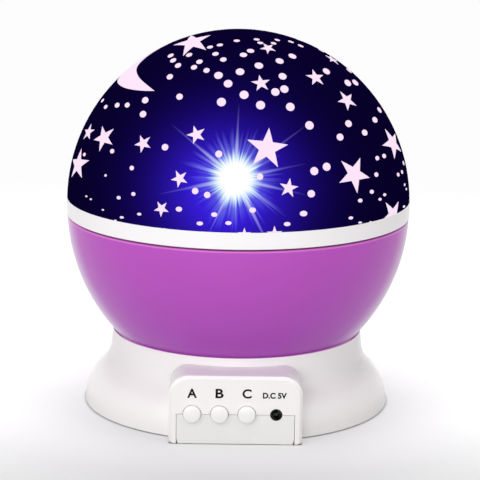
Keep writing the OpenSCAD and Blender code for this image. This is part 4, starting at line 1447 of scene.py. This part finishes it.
@dataclass(frozen=True)
class ControlPanel:
    """Three push buttons, the power socket and the plain marks over them."""

    face: float = -58.8
    ink_thickness: float = 0.05
    ink_gap: float = 0.005
    curve_steps: int = 6
    raised: float = 0.01
    button_crease: float = 40.0
    buttons: tuple[str, ...] = ("button_light", "button_colour", "button_rotate")
    letter_height: float = 3.35
    letter_centre: float = 18.4
    letter_widths: tuple[float, ...] = (3.35, 2.8, 3.2)
    letter_boldness: float = 0.027
    supply: PanelMark = PanelMark(
        "supply_mark", "D.C 5V", middle=13.5, centre=17.85, height=2.14, width=8.3, boldness=0.04)

    def marks(self) -> Iterator[PanelMark]:
        """Gives a letter over each button and the supply over the socket.

        Returns:
            The marks, one by one.
        """
        for button, letter, width in zip(self.buttons, "ABC", self.letter_widths):
            low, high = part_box(button)
            middle = (low.x + high.x) / 2 / MM
            yield PanelMark(f"mark_{letter}", letter, middle, self.letter_centre,
                            self.letter_height, width, self.letter_boldness)
        yield self.supply

    def mark_mesh(self, mark: PanelMark) -> bpy.types.Mesh:
        """Makes the words a mesh and lays it on the panel's face.

        Args:
            mark: The mark.

        Returns:
            The mesh, in place.
        """
        text = bpy.data.curves.new(mark.name, "FONT")
        text.body = mark.words
        text.extrude = self.raised
        text.offset = mark.boldness
        text.resolution_u = self.curve_steps
        mesh = plain_mesh(new_object(mark.name, text))
        low, high = self.corners(mesh)
        wide = mark.width * MM / (high.x - low.x)
        tall = mark.height * MM / (high.y - low.y)
        thick = self.ink_thickness * MM / (high.z - low.z)
        lie = Matrix.Rotation(math.pi / 2, 4, "X")
        size = Matrix.Diagonal((wide, tall, thick, 1.0))
        back = Vector(((low.x + high.x) / 2, (low.y + high.y) / 2, low.z))
        home = Vector((mark.middle, self.face + self.ink_gap, mark.centre)) * MM
        mesh.transform(Matrix.Translation(home) @ lie @ size @ Matrix.Translation(-back))
        return mesh

    def corners(self, mesh: bpy.types.Mesh) -> tuple[Vector, Vector]:
        """Gives a mesh's lowest and highest corner."""
        axes = list(zip(*(point.co for point in mesh.vertices)))
        return Vector([min(axis) for axis in axes]), Vector([max(axis) for axis in axes])

    def build(self) -> None:
        """Makes the skins of the buttons and the socket, finishes its pin and prints the marks."""
        for button in self.buttons:
            Moulding(button, BUTTON_WHITE, "button_white", crease=self.button_crease).build()
        Moulding("dc_socket", BLACK_PLASTIC, "black_plastic").build()
        paint(DARK_NICKEL, "socket_pin")
        for mark in self.marks():
            add_piece(mark.name, self.mark_mesh(mark), BLACK_INK, "black_plastic", "base")


@dataclass(frozen=True)
class Electronics:
    """The boards with their parts and switches, and the lamps on their post."""

    def build(self) -> None:
        """Finishes the boards, switches, lamps and wires."""
        paint(BOARD, "control_board", "lamp_board")
        paint(BLACK_PLASTIC, "board_parts", "tact_switches")
        paint(WHITE_GLOSS, "lamp_post", "lamp_holder")
        paint(EPOXY, "leds")
        paint(RED_VINYL, "lamp_wires", "battery_wires")
        paint(BLUE_VINYL, "motor_wires")


@dataclass(frozen=True)
class DriveTrain:
    """The geared motor, its pinion, the idler and what holds them."""

    def build(self) -> None:
        """Finishes the gears, shafts and motor."""
        paint(ACETAL, "idler_gear", "motor_pinion", "thrust_washer", "motor_gearbox")
        paint(MOTOR_STEEL, "motor_can")
        paint(STEEL, "motor_shaft", "motor_screws", "idler_pin", "post_screws", "post_clip")


@dataclass(frozen=True)
class BatteryBay:
    """The cells, their springs and contacts, and the hatch."""

    def build(self) -> None:
        """Finishes the cells and contacts, and makes the hatch's skin."""
        paint(SLEEVE, "battery_cells")
        paint(STEEL, "battery_springs", "battery_contacts", "door_screw")
        Moulding("battery_door", PANEL_WHITE, "white_shell").build()


@dataclass(frozen=True)
class Softbox:
    """A large soft lamp: its place, the side of its square and its power in watts."""

    name: str
    place: Triple
    side: float
    power: float


@dataclass(frozen=True)
class Studio:
    """A pale floor, a pale surround, five soft lamps and the camera.

    Beside the lamp the floor has a faint painted light of its own. It ends at the lamp's round foot
    and under the panel's hood, which paints a thin shadow there, fades to the front as painted
    shade, and glows on a little way around the foot as painted light.
    """

    camera_place: Triple = (0.0, -801.8, 240.0)
    pitch: float = 12.68
    roll: float = 0.773
    yaw: float = 0.057
    lens: float = 168.03
    sensor: float = 36.0
    aim_height: float = 70.0
    ambient: float = 0.35
    backdrop: Rgb = (0.98, 0.98, 0.98)
    floor_tone: Rgb = (0.4, 0.4, 0.4)
    floor_half: float = 4000.0
    floor_fade: Pair = (140.0, 460.0)
    foot_radius: float = 56.0
    foot_edge: float = 1.0
    foot_glow: Pair = (2.0, 49.0)
    foot_lift: float = 0.32
    hood_half: float = 23.2
    hood_reach: float = 58.5
    hood_edge: float = 0.5
    middle_edge: float = 1.0
    front_edge: float = -125.0
    front_full: float = -25.0
    floor_lift: float = 0.385
    lamps: tuple[Softbox, ...] = (
        Softbox("left_softbox", (-700.0, -750.0, 650.0), 700.0, 4.75),
        Softbox("right_softbox", (800.0, -550.0, 550.0), 600.0, 2.15),
        Softbox("front_softbox", (-150.0, -1150.0, 110.0), 500.0, 5.75),
        Softbox("top_softbox", (0.0, 150.0, 1100.0), 900.0, 13.8),
        Softbox("back_softbox", (0.0, 700.0, 1000.0), 900.0, 7.0),
    )

    def level(self, graph: Graph) -> tuple[Wire, Wire]:
        """Makes a surround bright where it is seen, and dimmer where it only lights.

        What a mirror or glass shows counts as seen.

        Args:
            graph: The surround's graph.

        Returns:
            1 where it is seen and 0 elsewhere, and its brightness.
        """
        path = graph.node("ShaderNodeLightPath").outputs
        camera, glossy, through = (
            Wire(graph, path[f"Is {way} Ray"]) for way in ("Camera", "Glossy", "Transmission"))
        seen = graph.math("MAXIMUM", graph.math("MAXIMUM", camera, glossy), through)
        return seen, self.ambient + seen * (1 - self.ambient)

    def around(self, graph: Graph, value: Wire, middle: float, half: float) -> Wire:
        """Gives a soft step about a middle, over half its width to each side."""
        return graph.rise(value, middle - half, middle + half)

    def lift(self, graph: Graph, x: Wire, y: Wire) -> Wire:
        """Gives the floor's painted light, which fades to the front and ends at the lamp's foot as
        painted shade.

        Args:
            graph: The floor's graph.
            x: Millimetres to the right.
            y: Millimetres towards the back.

        Returns:
            The light's strength where it is seen.
        """
        away = graph.distance(x, y)
        past_foot = self.around(graph, away, self.foot_radius, self.foot_edge)
        beside = self.around(graph, abs(x), self.hood_half, self.hood_edge)
        before = self.around(graph, -y, self.hood_reach, self.hood_edge)
        behind = self.around(graph, y, 0.0, self.middle_edge)
        # Cut off under the foot and the hood, the light leaves a painted shadow line on the floor.
        clear = past_foot * graph.math("MAXIMUM", behind, graph.math("MAXIMUM", beside, before))
        # Fading to the front paints a soft shade before the lamp; near the foot a painted light
        # glows on.
        depth = ((y - self.front_edge) / (self.front_full - self.front_edge)).clamped()
        full, none = (self.foot_radius + reach for reach in self.foot_glow)
        near = 1 - graph.rise(away, full, none)
        return (depth * self.floor_lift + (1 - depth) * near * self.foot_lift) * clear

    def floor_material(self) -> bpy.types.Material:
        """Makes the floor matte near the lamp, where it keeps shadows, and plain white farther out.

        Returns:
            The material.
        """
        made = bpy.data.materials.new("studio_floor")
        graph = cleared_graph(made)
        seen, bright = self.level(graph)
        x, y, _ = graph.split(graph.place())
        matte = graph.wire("ShaderNodeBsdfDiffuse", {"Color": self.floor_tone})
        lift = graph.wire("ShaderNodeEmission", {
            "Color": WHITE, "Strength": seen * self.lift(graph, x, y)})
        near = graph.wire("ShaderNodeAddShader", {0: matte, 1: lift})
        far = graph.wire("ShaderNodeEmission", {"Color": self.backdrop, "Strength": bright})
        away = graph.rise(graph.distance(x, y), *self.floor_fade)
        floor = graph.wire("ShaderNodeMixShader", {0: away, 1: near, 2: far})
        graph.node("ShaderNodeOutputMaterial", {"Surface": floor})
        return made

    def build_floor(self) -> None:
        """Lays the floor under the lamp."""
        half = self.floor_half * MM
        mesh = bpy.data.meshes.new("floor")
        corners = [(-half, -half, 0), (half, -half, 0), (half, half, 0), (-half, half, 0)]
        mesh.from_pydata(corners, [], [(0, 1, 2, 3)])
        mesh.materials.append(self.floor_material())
        new_object("floor", mesh)

    def build_world(self) -> None:
        """Makes the surround: white where it is seen, and a level light for the rest."""
        world = bpy.data.worlds.new("surround")
        bpy.context.scene.world = world
        graph = cleared_graph(world)
        _, bright = self.level(graph)
        light = graph.wire("ShaderNodeBackground", {"Color": self.backdrop, "Strength": bright})
        graph.node("ShaderNodeOutputWorld", {"Surface": light})

    def build_lamps(self) -> None:
        """Hangs the soft lamps, each facing the object."""
        aim = Vector((0.0, 0.0, self.aim_height)) * MM
        for lamp in self.lamps:
            light = bpy.data.lights.new(lamp.name, "AREA")
            light.shape = "SQUARE"
            light.size = lamp.side * MM
            light.energy = lamp.power
            holder = new_object(lamp.name, light)
            holder.location = Vector(lamp.place) * MM
            holder.rotation_euler = (aim - holder.location).to_track_quat("-Z", "Y").to_euler()

    def build_camera(self) -> None:
        """Stands the camera in front of the object, looking a little down."""
        yaw, pitch, roll = (math.radians(angle) for angle in (self.yaw, self.pitch, self.roll))
        level = math.cos(pitch)
        ahead = Vector((math.sin(yaw) * level, math.cos(yaw) * level, -math.sin(pitch)))
        right = Vector((math.cos(yaw), -math.sin(yaw), 0.0))
        up = right.cross(ahead)
        across = right * math.cos(roll) + up * math.sin(roll)
        upright = up * math.cos(roll) - right * math.sin(roll)
        data = bpy.data.cameras.new("camera")
        data.lens = self.lens
        data.sensor_width = self.sensor
        camera = new_object("camera", data)
        turned = Matrix((across, upright, -ahead)).transposed().to_4x4()
        camera.matrix_world = Matrix.Translation(Vector(self.camera_place) * MM) @ turned
        bpy.context.scene.camera = camera

    def build(self) -> None:
        """Makes the floor, the surround, the lamps and the camera."""
        self.build_floor()
        self.build_world()
        self.build_lamps()
        self.build_camera()
        bpy.context.scene.view_settings.view_transform = "Standard"


def main() -> None:
    """Builds the studio and every sub-assembly in order."""
    logging.basicConfig(level=logging.INFO, format="%(name)s: %(message)s")
    sub_assemblies = (
        Studio(), PrintedDome(), GlobeBottom(), Housing(), ControlPanel(), Electronics(),
        DriveTrain(), BatteryBay(),
    )
    for part in sub_assemblies:
        part.build()
        log.info("%s is built", type(part).__name__)


if __name__ == "__main__":
    main()
